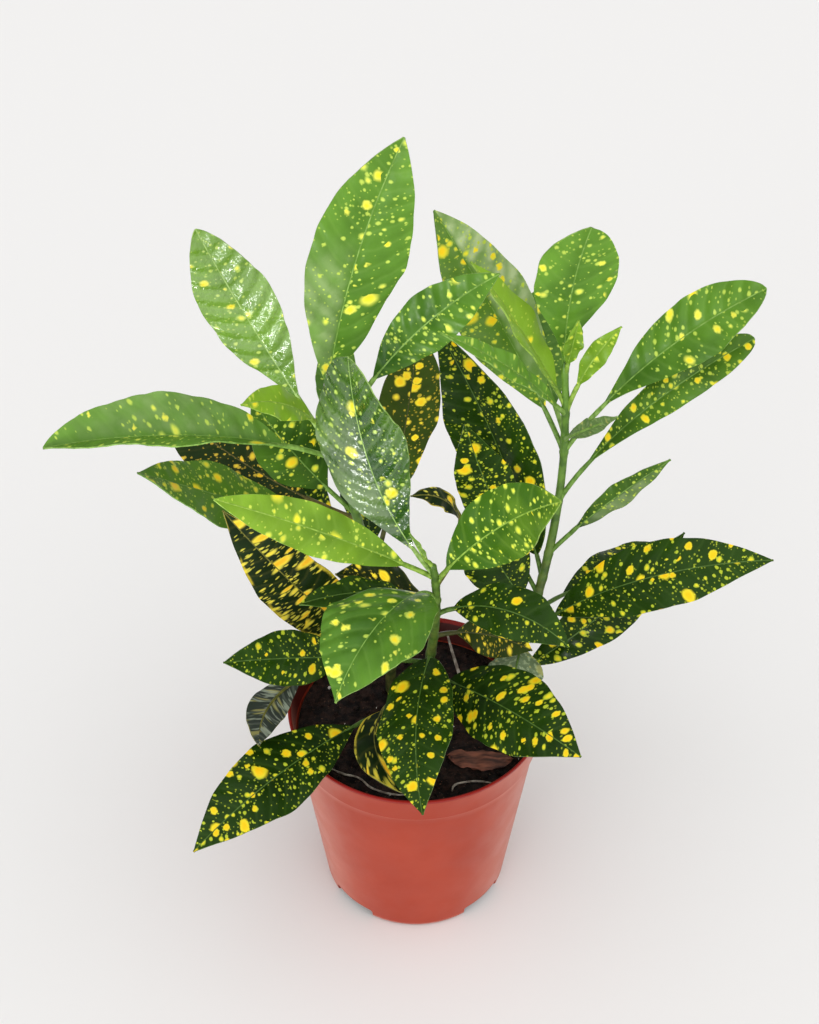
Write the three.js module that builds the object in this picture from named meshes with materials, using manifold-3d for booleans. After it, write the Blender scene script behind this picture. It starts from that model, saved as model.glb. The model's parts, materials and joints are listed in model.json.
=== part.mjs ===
// Potted croton: a house plant with yellow-spotted leaves on three stems, in a 12 cm nursery pot.
// Millimetres, +Z up. The origin is the middle of the pot's underside, and -Y is the plant's front.

import * as THREE from 'three';
import { mergeVertices } from 'three/addons/utils/BufferGeometryUtils.js';
import Module from 'manifold-3d';

const wasm = await Module();
wasm.setup();

// Pot
const POT_HEIGHT = 110;
const RIM_RADIUS = 60;
const FOOT_RADIUS = 45;
const WALL = 1.6;
const COLLAR_HEIGHT = 15;
const COLLAR_STEP = 1.2;
const FOOT_ROUND = 2;
const POT_SIDES = 48;
const NOTCH_COUNT = 4;
const NOTCH_WIDTH = 24;
const NOTCH_DEPTH = 7;
const NOTCH_HEIGHT = 6;
const FIRST_NOTCH = -43;

// Soil, whose surface is a low mound: each step is a share of the edge's radius and a height
// above the mound's foot
const SOIL_TOP = 98;
const SOIL_EDGE_DROP = 1.5;
const SOIL_MOUND = [[0.93, -0.5], [0.7, 0.8], [0.35, 1.6], [0, 2]];

// Stems
const STEM_SINK = 12;
const STEM_SIDES = 8;
const STEM_STEPS = 12;
const END_TAPER = 0.6;

// Flake of bark that lies on the soil at the front right
const BARK_THICKNESS = 2;
const BARK_BEVEL = 0.8;
const BARK_PLACE = [28, -26, SOIL_TOP - 0.5];
const BARK_TILT = 8;
const BARK_TURN = 12;

// Thin dry roots that have come up and lie on the soil along the pot's front
const ROOTLET_RADIUS = 0.6;
const ROOTLET_SIDES = 6;
const ROOTLET_STEPS = 12;
const rootlets = {
  rootlet_1: [[-40, -29], [-33, -34], [-26, -36], [-20, -42], [-11, -45], [-2, -45.5]],
  rootlet_2: [[16, -44], [17, -41], [22, -38.5], [29, -38], [34, -38.5]],
};

// Fit between neighbours
const GAP = 0.3;

// Leaves
const LEAF_THICKNESS = 0.8;
const PETIOLE_RADIUS = 1.1;
const TIP_HALF_WIDTH = 0.5;
const ACROSS = [1, 0.55, 0, -0.55, -1];
const PETIOLE_STATIONS = [0, 0.5, 0.9];
const BLADE_STATIONS = [0.07, 0.18, 0.31, 0.46, 0.62, 0.77, 0.9, 1];
const MARGIN_PHASE = 0.25;
const WALK_STEPS = 48;

const radians = THREE.MathUtils.degToRad;

const materials = {
  pot: new THREE.MeshStandardMaterial({ color: '#b8503c', roughness: 0.45, metalness: 0 }),
  soil: new THREE.MeshStandardMaterial({ color: '#1d1513', roughness: 0.95, metalness: 0 }),
  bark: new THREE.MeshStandardMaterial({ color: '#5d3327', roughness: 0.8, metalness: 0 }),
  rootlet: new THREE.MeshStandardMaterial({ color: '#9b9187', roughness: 0.7, metalness: 0 }),
  stem: new THREE.MeshStandardMaterial({ color: '#4d7a28', roughness: 0.5, metalness: 0 }),
  lime: new THREE.MeshStandardMaterial({ color: '#7fb32c', roughness: 0.35, metalness: 0 }),
  green: new THREE.MeshStandardMaterial({ color: '#3c7a25', roughness: 0.3, metalness: 0 }),
  dark: new THREE.MeshStandardMaterial({ color: '#1d3f1b', roughness: 0.28, metalness: 0 }),
};

// Each stem is a Bezier curve from its foot, a little way down in the soil, to its growing tip.
const stems = {
  right: { points: [[38, 20], [56, 22, 140], [68, 20, 215], [59, 18, 286]], foot: 2.6, top: 1.4 },
  front: { points: [[2, 10], [4, 0, 130], [12, -24, 190], [6, -34, 224]], foot: 2.8, top: 1.5 },
  left: { points: [[-12, 20], [-10, 16, 150], [-24, 6, 215], [-38, 4, 266]], foot: 2.8, top: 1.4 },
};

// A leaf leaves its stem at the share `at` of the stem's curve. From there its stalk and blade run
// along a heading (0 is +X, 90 is +Y) and a rise above the horizontal. The heading swings and the
// rise sags evenly on the way to the tip. The roll turns the blade about its own midrib, where 0
// lies level like a tray, and the twist adds to the roll towards the tip. The two halves fold up
// from the midrib and curl back down, and the margin waves.
const leaves = [
  // Right stem, from the top down
  { name: 'right_bud', look: 'lime', stem: 'right', at: 0.97, heading: -70, swing: 0, rise: 75, sag: 0,
    petiole: 6, length: 25, width: 8, roll: 165, fold: 35 },
  { name: 'right_upright', look: 'green', stem: 'right', at: 0.92, heading: -35, swing: 10, rise: 99,
    sag: 25, petiole: 10, length: 68, width: 34, roll: 130, widest: 0.66, heel: 1.3, point: 0.5 },
  { name: 'right_lime_folded', look: 'lime', stem: 'right', at: 0.9, heading: 180, swing: 12, rise: 64,
    sag: 10, petiole: 8, length: 72, width: 17, roll: -30, fold: 30 },
  { name: 'right_inward', look: 'green', stem: 'right', at: 0.88, heading: -140, swing: -10, rise: 52,
    sag: 17, petiole: 6, length: 83, width: 10, roll: -50, fold: 20 },
  { name: 'right_small_light', look: 'lime', stem: 'right', at: 0.88, heading: -30, swing: 0, rise: 78,
    sag: 22, petiole: 15, length: 37, width: 9, roll: 90 },
  { name: 'right_curled', look: 'green', stem: 'right', at: 0.82, heading: -80, swing: 30, rise: 43,
    sag: 0, petiole: 5, length: 45, width: 7, roll: -75, fold: 20 },
  { name: 'right_back_tall', look: 'dark', stem: 'right', at: 0.79, heading: 145, swing: 35, rise: 60,
    sag: 0, petiole: 20, length: 98, width: 34, roll: -50, point: 0.85 },
  { name: 'right_high', look: 'green', stem: 'right', at: 0.79, heading: -3, swing: -20, rise: 62,
    sag: 22, petiole: 26, length: 87, width: 26, roll: 55, widest: 0.62, heel: 0.9, point: 0.6 },
  { name: 'right_second', look: 'dark', stem: 'right', at: 0.665, heading: -16, swing: 15, rise: 67,
    sag: 32, petiole: 23, length: 91, width: 17, roll: 50, widest: 0.64, heel: 0.7, point: 0.45 },
  { name: 'right_twisted', look: 'dark', stem: 'right', at: 0.52, heading: -15, swing: 10, rise: 58,
    sag: 15, petiole: 19, length: 56, width: 11, roll: 90 },
  { name: 'right_low', look: 'dark', stem: 'right', at: 0.27, heading: -13, swing: 15, rise: 53, sag: 53,
    petiole: 20, length: 104, width: 32, roll: 35, heel: 0.8 },
  { name: 'right_lowest', look: 'dark', stem: 'right', at: 0.12, heading: -3, swing: 25, rise: 39,
    sag: -12, petiole: 10, length: 102, width: 26, roll: 60 },
  { name: 'right_pale_underside', look: 'dark', stem: 'right', at: 0.25, heading: -104, swing: 0,
    rise: -5, sag: 30, petiole: 3, length: 30, width: 26, roll: 180 },
  // Front stem
  { name: 'front_bud', look: 'lime', stem: 'front', at: 0.985, heading: -160, swing: 0, rise: 60, sag: -8,
    petiole: 4, length: 18, width: 4, roll: 20, fold: 35, wave: 0.2 },
  { name: 'front_lime_left', look: 'lime', stem: 'front', at: 0.91, heading: -171, swing: 10, rise: 36,
    sag: 5, petiole: 15, length: 87, width: 20, roll: -50, heel: 0.8, point: 0.8 },
  { name: 'front_upright', look: 'green', stem: 'front', at: 0.93, heading: 180, swing: -75, rise: 54,
    sag: -22, petiole: 12, length: 88, width: 42, roll: -72, widest: 0.62, point: 0.45 },
  { name: 'front_lime_right', look: 'lime', stem: 'front', at: 0.88, heading: -10, swing: -50, rise: 60,
    sag: 20, petiole: 9, length: 79, width: 29, roll: 75, heel: 0.85, point: 0.85 },
  { name: 'front_nodding', look: 'green', stem: 'front', at: 0.77, heading: -121, swing: -6, rise: 60,
    sag: 120, petiole: 20, length: 66, width: 49, roll: 12, heel: 0.8, point: 1.2 },
  { name: 'front_small_left', look: 'dark', stem: 'front', at: 0.77, heading: -170, swing: 0, rise: 29,
    sag: 45, petiole: 13, length: 46, width: 16, roll: -10 },
  { name: 'front_right', look: 'dark', stem: 'front', at: 0.68, heading: -20, swing: -10, rise: 45,
    sag: 80, petiole: 10, length: 55, width: 24, roll: 25, heel: 0.8 },
  { name: 'front_hanging', look: 'dark', stem: 'front', at: 0.45, heading: -108, swing: 30, rise: -10,
    sag: 20, petiole: 3, length: 73, width: 36, roll: 25, widest: 0.45, heel: 0.6 },
  { name: 'front_low_left', look: 'dark', stem: 'front', at: 0.39, heading: -160, swing: 10, rise: 25,
    sag: 5, petiole: 40, length: 62, width: 24, roll: -50 },
  { name: 'front_low_right', look: 'dark', stem: 'front', at: 0.32, heading: -50, swing: 10, rise: 27,
    sag: 36, petiole: 16, length: 76, width: 37, roll: 30, heel: 0.7 },
  { name: 'front_over_rim', look: 'dark', stem: 'front', at: 0.16, heading: -140, swing: 5, rise: 20,
    sag: 40, petiole: 42, length: 93, width: 34, roll: -15 },
  { name: 'front_streaked', look: 'dark', stem: 'front', at: 0.21, heading: -155, swing: 115, rise: 20,
    sag: 32, petiole: 28, length: 53, width: 19, roll: 0 },
  { name: 'front_orange', look: 'dark', stem: 'front', at: 0.55, heading: 50, swing: -40, rise: -25,
    sag: 15, petiole: 16, length: 50, width: 20, roll: 60 },
  { name: 'front_inner_left', look: 'dark', stem: 'front', at: 0.71, heading: 130, swing: 35, rise: 0,
    sag: 10, petiole: 5, length: 48, width: 24, roll: -85 },
  // Left stem
  { name: 'left_tall', look: 'green', stem: 'left', at: 0.99, heading: 30, swing: -40, rise: 83, sag: 17,
    petiole: 19, length: 107, width: 38, roll: 98, widest: 0.53, heel: 0.8, point: 0.85 },
  { name: 'left_glossy', look: 'green', stem: 'left', at: 0.91, heading: 180, swing: 28, rise: 63,
    sag: -6, petiole: 27, length: 88, width: 28, roll: -100, widest: 0.56, point: 0.7 },
  { name: 'left_small_lime', look: 'lime', stem: 'left', at: 0.955, heading: -132, swing: 5, rise: 64,
    sag: 46, petiole: 15, length: 47, width: 14, roll: -50 },
  { name: 'left_inward', look: 'green', stem: 'left', at: 0.92, heading: 10, swing: -40, rise: 66,
    sag: 27, petiole: 36, length: 75, width: 22, roll: 82, point: 0.9 },
  { name: 'left_long', look: 'green', stem: 'left', at: 0.88, heading: -152, swing: -26, rise: 38,
    sag: 50, petiole: 26, length: 96, width: 33, roll: -13, fold: 42, curl: 14, heel: 0.8, point: 0.7 },
  { name: 'left_middle', look: 'dark', stem: 'left', at: 0.7, heading: -172, swing: -12, rise: 50,
    sag: -12, petiole: 18, length: 54, width: 28, roll: -60 },
  { name: 'left_orange_edged', look: 'dark', stem: 'left', at: 0.68, heading: 152, swing: -8, rise: 2,
    sag: -22, petiole: 25, length: 85, width: 35, roll: -26 },
  { name: 'left_outer', look: 'dark', stem: 'left', at: 0.56, heading: 175, swing: 55, rise: 31, sag: -10,
    petiole: 31, length: 90, width: 30, roll: -30 },
  { name: 'left_streaked', look: 'dark', stem: 'left', at: 0.18, heading: -140, swing: -10, rise: 53,
    sag: -10, petiole: 28, length: 120, width: 30, roll: -100, widest: 0.45 },
  { name: 'left_turned_over', look: 'dark', stem: 'left', at: 0.15, heading: -176, swing: 96, rise: 17,
    sag: 8, petiole: 47, length: 57, width: 17, roll: 160 },
  // Behind the front leaves
  { name: 'middle_back', look: 'dark', stem: 'right', at: 0.45, heading: 140, swing: 28, rise: 70,
    sag: 10, petiole: 12, length: 118, width: 40, roll: -90, fold: 20, widest: 0.45, heel: 0.8 },
  { name: 'middle_second', look: 'dark', stem: 'right', at: 0.4, heading: 175, swing: 5, rise: 64,
    sag: -10, petiole: 30, length: 70, width: 26, roll: -90 },
  { name: 'middle_orange', look: 'dark', stem: 'left', at: 0.5, heading: 43, swing: 12, rise: 70,
    sag: -10, petiole: 34, length: 81, width: 28, roll: 58, widest: 0.6, heel: 0.6 },
  { name: 'middle_arched', look: 'dark', stem: 'front', at: 0.86, heading: 40, swing: 120, rise: 36,
    sag: 65, petiole: 34, length: 36, width: 9, roll: -75 },
  { name: 'middle_low', look: 'dark', stem: 'right', at: 0.33, heading: -160, swing: -17, rise: 66,
    sag: 6, petiole: 13, length: 58, width: 30, roll: -85 },
  // The far side
  { name: 'back_upper_right', look: 'green', stem: 'right', at: 0.83, heading: 105, swing: -20, rise: 22,
    sag: 15, petiole: 15, length: 72, width: 28, roll: 10 },
  { name: 'back_low_right', look: 'dark', stem: 'right', at: 0.34, heading: 42, swing: -5, rise: 0,
    sag: 20, petiole: 20, length: 95, width: 28, roll: 0 },
  { name: 'back_upper_left', look: 'green', stem: 'left', at: 0.85, heading: 100, swing: -20, rise: 20,
    sag: 5, petiole: 20, length: 56, width: 18, roll: 5 },
  { name: 'back_low_left', look: 'dark', stem: 'left', at: 0.6, heading: 135, swing: -15, rise: 5, sag: 0,
    petiole: 20, length: 82, width: 28, roll: -20 },
  { name: 'back_middle', look: 'dark', stem: 'left', at: 0.46, heading: 100, swing: -15, rise: 22,
    sag: 18, petiole: 18, length: 70, width: 26, roll: 0 },
  { name: 'back_lowest', look: 'dark', stem: 'right', at: 0.23, heading: 105, swing: -15, rise: 14,
    sag: 0, petiole: 16, length: 66, width: 27, roll: 0 },
];

// Usual shape of a blade, where the list above says nothing else
const usual = { twist: 0, fold: 12, curl: 20, wave: 1, waves: 3, widest: 0.5, heel: 1, point: 1 };

function bezier([[x, y], ...rest]) {
  const foot = new THREE.Vector3(x, y, SOIL_TOP - STEM_SINK + GAP);
  return new THREE.CubicBezierCurve3(foot, ...rest.map((point) => new THREE.Vector3(...point)));
}

// Closed body whose rings all have the same number of points, with a flat cap at each end
function skin(rings, diagonal = () => true) {
  const count = rings[0].length;
  const corners = rings.flat();
  const triangles = [];
  for (let ring = 0; ring < rings.length - 1; ring++) {
    for (let side = 0; side < count; side++) {
      const a = ring * count + side;
      const b = ring * count + ((side + 1) % count);
      const c = b + count;
      const d = a + count;
      if (diagonal(side)) triangles.push(a, b, c, a, c, d);
      else triangles.push(a, b, d, b, c, d);
    }
  }
  const last = (rings.length - 1) * count;
  for (let side = 1; side < count - 1; side++) {
    triangles.push(0, side + 1, side);
    triangles.push(last, last + side, last + side + 1);
  }
  const geometry = new THREE.BufferGeometry().setFromPoints(corners);
  geometry.setIndex(triangles);
  return geometry;
}

// Round rod along a curve, with a radius for each share of the curve
function rodGeometry(curve, sides, steps, radiusAt) {
  const frames = curve.computeFrenetFrames(steps);
  const rings = [];
  for (let step = 0; step <= steps; step++) {
    const share = step / steps;
    const radius = radiusAt(share);
    const centre = curve.getPoint(share);
    rings.push(circle(sides).map(([c, s]) => centre.clone()
      .addScaledVector(frames.normals[step], radius * c)
      .addScaledVector(frames.binormals[step], radius * s)));
  }
  return skin(rings);
}

// Stem: it tapers along its curve and ends in a blunt tip
function stemGeometry({ points, foot, top }, extra = 0) {
  const radiusAt = (share) => (foot + (top - foot) * share) * (share === 1 ? END_TAPER : 1) + extra;
  return rodGeometry(bezier(points), STEM_SIDES, STEM_STEPS, radiusAt);
}

function circle(sides) {
  return Array.from({ length: sides }, (_, side) => {
    const angle = (2 * Math.PI * side) / sides;
    return [Math.cos(angle), Math.sin(angle)];
  });
}

// Points of a leaf's middle line from its stem to its tip
function midline(leaf) {
  const point = bezier(stems[leaf.stem].points).getPoint(leaf.at);
  const step = (leaf.petiole + leaf.length) / WALK_STEPS;
  const line = [point.clone()];
  for (let index = 0; index < WALK_STEPS; index++) {
    point.addScaledVector(direction(leaf, (index + 0.5) / WALK_STEPS), step);
    line.push(point.clone());
  }
  return line;
}

function direction(leaf, share) {
  const heading = radians(leaf.heading + leaf.swing * share);
  const rise = radians(leaf.rise - leaf.sag * share);
  const level = Math.cos(rise);
  return new THREE.Vector3(level * Math.cos(heading), level * Math.sin(heading), Math.sin(rise));
}

// Place and axes of a leaf at one share of its stalk and blade together
function frameAt(leaf, line, share, bladeShare) {
  const place = share * WALK_STEPS;
  const index = Math.min(Math.floor(place), WALK_STEPS - 1);
  const centre = line[index].clone().lerp(line[index + 1], place - index);
  const along = direction(leaf, share);
  const heading = radians(leaf.heading + leaf.swing * share);
  const side = new THREE.Vector3(-Math.sin(heading), Math.cos(heading), 0);
  side.applyAxisAngle(along, radians(leaf.roll + leaf.twist * bladeShare));
  const up = along.clone().cross(side);
  return { centre, along, side, up };
}

// Half width of a blade at a share of its length, 0 at both ends and 1 at the widest point
function outline(leaf, share) {
  const stretch = Math.log(0.5) / Math.log(leaf.widest);
  const swell = Math.max(Math.sin(Math.PI * share ** stretch), 0);
  return swell ** (share < leaf.widest ? leaf.heel : leaf.point);
}

// Cross-section of one half of a blade: it leaves the midrib at the fold and curls back down
function halfSection(leaf, distance) {
  const fold = radians(leaf.fold);
  const curl = radians(leaf.curl) / (leaf.width / 2);
  const angle = fold - curl * distance;
  const out = (Math.sin(fold) - Math.sin(angle)) / curl;
  const height = (Math.cos(angle) - Math.cos(fold)) / curl;
  return { out, height, angle };
}

function bladeRing(leaf, line, share) {
  const whole = (leaf.petiole + leaf.length * share) / (leaf.petiole + leaf.length);
  const { centre, side, up } = frameAt(leaf, line, whole, share);
  const half = Math.max((leaf.width / 2) * outline(leaf, share), TIP_HALF_WIDTH);
  const upper = [];
  const lower = [];
  for (const across of ACROSS) {
    const sign = Math.sign(across);
    const { out, height, angle } = halfSection(leaf, Math.abs(across) * half);
    const phase = 2 * Math.PI * (leaf.waves * share + MARGIN_PHASE * sign);
    const lift = leaf.wave * Math.sin(phase) * across ** 2 * outline(leaf, share);
    const lean = across === 0 ? 0 : angle;
    const top = centre.clone().addScaledVector(side, sign * out).addScaledVector(up, height + lift);
    upper.push(top);
    lower.push(top.clone()
      .addScaledVector(up, -LEAF_THICKNESS * Math.cos(lean))
      .addScaledVector(side, sign * LEAF_THICKNESS * Math.sin(lean)));
  }
  return [...upper, ...lower.reverse()];
}

function petioleRing(leaf, line, share) {
  const whole = (share * leaf.petiole) / (leaf.petiole + leaf.length);
  const { centre, side, up } = frameAt(leaf, line, whole, 0);
  const count = 2 * ACROSS.length;
  const points = [];
  for (let index = 0; index < count; index++) {
    const angle = (Math.PI * (index + 0.5)) / ACROSS.length;
    points.push(centre.clone()
      .addScaledVector(side, PETIOLE_RADIUS * Math.cos(angle))
      .addScaledVector(up, PETIOLE_RADIUS * Math.sin(angle)));
  }
  return points;
}

function leafGeometry(leaf) {
  const line = midline(leaf);
  const rings = [
    ...PETIOLE_STATIONS.map((share) => petioleRing(leaf, line, share)),
    ...BLADE_STATIONS.map((share) => bladeRing(leaf, line, share)),
  ];
  const upperSides = ACROSS.length - 1;
  return skin(rings, (side) => side < upperSides);
}

// Solids and meshes
function solid(geometry) {
  const bare = new THREE.BufferGeometry();
  bare.setAttribute('position', geometry.getAttribute('position').clone());
  if (geometry.index) bare.setIndex(geometry.index.clone());
  const merged = mergeVertices(bare, 1e-4);
  const kept = [];
  const index = merged.index.array;
  for (let start = 0; start < index.length; start += 3) {
    const [a, b, c] = index.slice(start, start + 3);
    if (a !== b && b !== c && c !== a) kept.push(a, b, c);
  }
  return new wasm.Manifold(new wasm.Mesh({
    numProp: 3,
    vertProperties: new Float32Array(merged.getAttribute('position').array),
    triVerts: new Uint32Array(kept),
  }));
}

function geometryOf(body) {
  const { vertProperties, triVerts } = body.getMesh();
  const geometry = new THREE.BufferGeometry();
  geometry.setAttribute('position', new THREE.BufferAttribute(new Float32Array(vertProperties), 3));
  geometry.setIndex(new THREE.BufferAttribute(new Uint32Array(triVerts), 1));
  geometry.computeVertexNormals();
  return geometry;
}

// Lathe turned about +Z instead of +Y
function turned(profile) {
  const points = profile.map(([radius, height]) => new THREE.Vector2(radius, height));
  return new THREE.LatheGeometry(points, POT_SIDES).rotateX(Math.PI / 2);
}

// Outer radius of the pot's plain wall at a height, and of its inside
function bodyRadius(height) {
  return FOOT_RADIUS + ((RIM_RADIUS - COLLAR_STEP - FOOT_RADIUS) * height) / POT_HEIGHT;
}

function potBody() {
  const collarFoot = POT_HEIGHT - COLLAR_HEIGHT;
  const outside = [
    [0, 0],
    [FOOT_RADIUS - FOOT_ROUND, 0],
    [FOOT_RADIUS - FOOT_ROUND * (1 - Math.SQRT1_2), FOOT_ROUND * (1 - Math.SQRT1_2)],
    [bodyRadius(FOOT_ROUND), FOOT_ROUND],
    [bodyRadius(collarFoot), collarFoot],
    [bodyRadius(collarFoot) + COLLAR_STEP, collarFoot + COLLAR_STEP],
    [RIM_RADIUS, POT_HEIGHT],
  ];
  const inside = [
    [RIM_RADIUS - WALL, POT_HEIGHT],
    [bodyRadius(collarFoot) + COLLAR_STEP - WALL, collarFoot + COLLAR_STEP],
    [bodyRadius(collarFoot) - WALL, collarFoot],
    [bodyRadius(WALL) - WALL, WALL],
    [0, WALL],
  ];
  let pot = solid(turned([...outside, ...inside]));
  for (let index = 0; index < NOTCH_COUNT; index++) {
    const notch = new THREE.BoxGeometry(2 * NOTCH_DEPTH, NOTCH_WIDTH, 2 * NOTCH_HEIGHT);
    notch.translate(FOOT_RADIUS, 0, 0);
    notch.rotateZ(radians(FIRST_NOTCH + (360 * index) / NOTCH_COUNT));
    pot = pot.subtract(solid(notch));
  }
  return pot;
}

// Soil: it fills the pot's inside and has a plain hole for each stem's foot
function soilBody() {
  const foot = WALL + GAP;
  const edge = bodyRadius(SOIL_TOP) - WALL - GAP;
  const soil = solid(turned([
    [0, foot],
    [bodyRadius(foot) - WALL - GAP, foot],
    [edge, SOIL_TOP - SOIL_EDGE_DROP],
    ...SOIL_MOUND.map(([share, rise]) => [share * edge, SOIL_TOP + rise]),
  ]));
  return Object.values(stems).reduce((left, stem) => {
    const hole = solid(stemGeometry(stem, GAP));
    return left.subtract(hole).subtract(hole.translate([0, 0, -GAP]));
  }, soil);
}

// What lies on the soil is trimmed to the soil's surface, a small gap above it
function onSoil(geometry, soil) {
  const cut = solid(geometry).subtract(soil.translate([0, 0, GAP]));
  return largest(cut);
}

function largest(body) {
  return body.decompose().reduce((best, piece) => (piece.volume() > best.volume() ? piece : best));
}

// Outline of the bark flake: a torn left end, a straight split side and a rounded right end
function barkGeometry() {
  const shape = new THREE.Shape();
  shape.moveTo(-14, -1);
  shape.quadraticCurveTo(-9, -6, 2, -5);
  shape.lineTo(13, -4);
  shape.quadraticCurveTo(16, 0, 13, 4);
  shape.lineTo(4, 5);
  shape.quadraticCurveTo(-8, 5, -14, -1);
  const bark = new THREE.ExtrudeGeometry(shape, {
    depth: BARK_THICKNESS, steps: 1, bevelThickness: BARK_BEVEL, bevelSize: BARK_BEVEL,
    bevelSegments: 1, curveSegments: 4,
  });
  return bark.rotateX(radians(BARK_TILT)).rotateZ(radians(BARK_TURN)).translate(...BARK_PLACE);
}

function rootletGeometry(points) {
  const curve = new THREE.CatmullRomCurve3(points.map(([x, y]) => new THREE.Vector3(x, y, SOIL_TOP)));
  return rodGeometry(curve, ROOTLET_SIDES, ROOTLET_STEPS, () => ROOTLET_RADIUS);
}

const plant = new THREE.Group();

function add(name, body, material) {
  const mesh = new THREE.Mesh(geometryOf(body), material);
  mesh.name = name;
  plant.add(mesh);
}

const soil = soilBody();
add('pot', potBody(), materials.pot);
add('soil', soil, materials.soil);
add('bark_flake', onSoil(barkGeometry(), soil), materials.bark);
for (const [name, points] of Object.entries(rootlets)) {
  add(name, onSoil(rootletGeometry(points), soil), materials.rootlet);
}
for (const [name, stem] of Object.entries(stems)) {
  add(`stem_${name}`, solid(stemGeometry(stem)), materials.stem);
}
for (const entry of leaves) {
  const leaf = { ...usual, ...entry };
  const seat = solid(stemGeometry(stems[leaf.stem], GAP));
  add(`leaf_${leaf.name}`, largest(solid(leafGeometry(leaf)).subtract(seat)), materials[leaf.look]);
}

export default plant;
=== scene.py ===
# %% [markdown]
# # A potted croton, leaf by leaf
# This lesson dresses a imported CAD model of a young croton: three green stems with forty-eight leaves,
# speckled yellow, in damp peat in a red nursery pot. The CAD solids give every place and size, so
# each piece here is made where its solid stands, in metres, with +Z up and the front towards -Y.

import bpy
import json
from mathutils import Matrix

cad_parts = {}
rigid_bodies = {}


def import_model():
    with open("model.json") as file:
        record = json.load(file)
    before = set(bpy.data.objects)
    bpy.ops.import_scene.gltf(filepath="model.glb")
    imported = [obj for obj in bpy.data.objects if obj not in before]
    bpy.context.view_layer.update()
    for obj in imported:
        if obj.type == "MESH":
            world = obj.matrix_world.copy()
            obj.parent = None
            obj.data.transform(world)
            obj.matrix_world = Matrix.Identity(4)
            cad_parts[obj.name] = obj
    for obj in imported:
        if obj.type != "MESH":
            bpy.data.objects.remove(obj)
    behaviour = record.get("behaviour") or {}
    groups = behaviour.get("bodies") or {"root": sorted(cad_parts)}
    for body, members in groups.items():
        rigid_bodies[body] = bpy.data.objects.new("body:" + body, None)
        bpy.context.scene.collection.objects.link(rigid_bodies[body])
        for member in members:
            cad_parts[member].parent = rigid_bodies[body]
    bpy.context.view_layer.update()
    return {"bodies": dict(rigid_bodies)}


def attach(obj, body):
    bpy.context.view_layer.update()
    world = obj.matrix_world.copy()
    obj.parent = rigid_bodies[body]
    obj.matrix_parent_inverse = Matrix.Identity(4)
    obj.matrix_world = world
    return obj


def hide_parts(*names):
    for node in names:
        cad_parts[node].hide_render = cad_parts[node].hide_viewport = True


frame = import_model()

# %% Tools that the lesson uses
import json
import math
import random

import bmesh
import bpy
import numpy as np
from mathutils import Quaternion, Vector
from mathutils.bvhtree import BVHTree

MM = 0.001
scene = bpy.context.scene


def deselect():
    """Leaves nothing selected, so that an operator acts only on what comes next."""
    bpy.ops.object.select_all(action="DESELECT")


def select(*pieces):
    """Selects only these pieces and makes the first of them active."""
    deselect()
    for piece in pieces:
        piece.select_set(True)
    bpy.context.view_layer.objects.active = pieces[0]


def smooth(degrees):
    """Shades the selected piece smooth, except over edges that are sharper than this."""
    bpy.ops.object.shade_smooth_by_angle(angle=math.radians(degrees))


def set_up(thing, **settings):
    """Sets several values of a thing at once and returns it."""
    for name, value in settings.items():
        setattr(thing, name, value)
    return thing


deselect()

# %% [markdown]
# ## Camera
# The plant is seen from the front and above, as by somebody who stands at the table. A 50 mm lens
# on the photo's tall frame, tipped down 38 degrees, puts pot and leaves where the photo has them.

# %% The camera
CAMERA_PLACE = (-3 * MM, -466 * MM, 593 * MM)
CAMERA_TIP = math.radians(51.6)

bpy.ops.object.camera_add(location=CAMERA_PLACE, rotation=(CAMERA_TIP, 0, 0))
camera = bpy.context.object
set_up(camera.data, lens=50, sensor_width=36)
scene.camera = camera
print("camera at", [round(value, 3) for value in camera.location])

# %% [markdown]
# ## Helpers for the nodes of a finish
# A finish is a small network: patterns make masks, masks mix colours, and heights make a bump.
# Each helper adds a node or a few, feeds them with numbers or with the outputs of other nodes, and
# returns what comes out, so that a finish further down reads like a sum.

# %% Nodes and sums
def plug(tree, value, socket):
    """Feeds a socket with a number, a colour or another node's output."""
    if isinstance(value, bpy.types.NodeSocket):
        tree.links.new(value, socket)
    else:
        socket.default_value = value


def feed(tree, kind, inputs, **settings):
    """Adds a node with its own settings, feeds its inputs and returns its outputs."""
    made = set_up(tree.nodes.new(kind), **settings)
    for socket, value in inputs.items():
        plug(tree, value, made.inputs[socket])
    return made.outputs


def reckon(tree, operation, *values):
    """Adds a Math node and returns its output."""
    return feed(tree, "ShaderNodeMath", dict(enumerate(values)), operation=operation)[0]


def times(tree, first, second):
    """Multiplies two numbers."""
    return reckon(tree, "MULTIPLY", first, second)


def blend_colours(tree, mask, under, over):
    """Mixes two colours by a mask and returns the result."""
    return feed(tree, "ShaderNodeMix", {"Factor": mask, 6: under, 7: over}, data_type="RGBA")[2]


def coated(tree, base, *coats):
    """Lays coats over a base, each of a mask and a colour."""
    for mask, colour in coats:
        base = blend_colours(tree, mask, base, colour)
    return base


def between(tree, value, low, high, out_low=0.0, out_high=1.0):
    """A soft step: out_low below low, out_high above high."""
    steps = dict(enumerate((value, low, high, out_low, out_high)))
    return feed(tree, "ShaderNodeMapRange", steps, interpolation_type="SMOOTHSTEP")[0]


def scaled(tree, vector, factor):
    """A vector times a number."""
    return feed(tree, "ShaderNodeVectorMath", {0: vector, "Scale": factor}, operation="SCALE")[0]


def parts_of(tree, vector):
    """The three numbers of a vector."""
    return tuple(feed(tree, "ShaderNodeSeparateXYZ", {0: vector}))


# %% Noise
def object_place(tree):
    """Where a point lies on its object."""
    return feed(tree, "ShaderNodeTexCoord", {})["Object"]


def noise(tree, vector, scale, detail=2.0, dimensions="3D", output=0):
    """Soft noise: one number, or three when the output is Color."""
    inputs = {"Vector": vector, "Scale": scale, "Detail": detail}
    return feed(tree, "ShaderNodeTexNoise", inputs, noise_dimensions=dimensions)[output]


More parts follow.
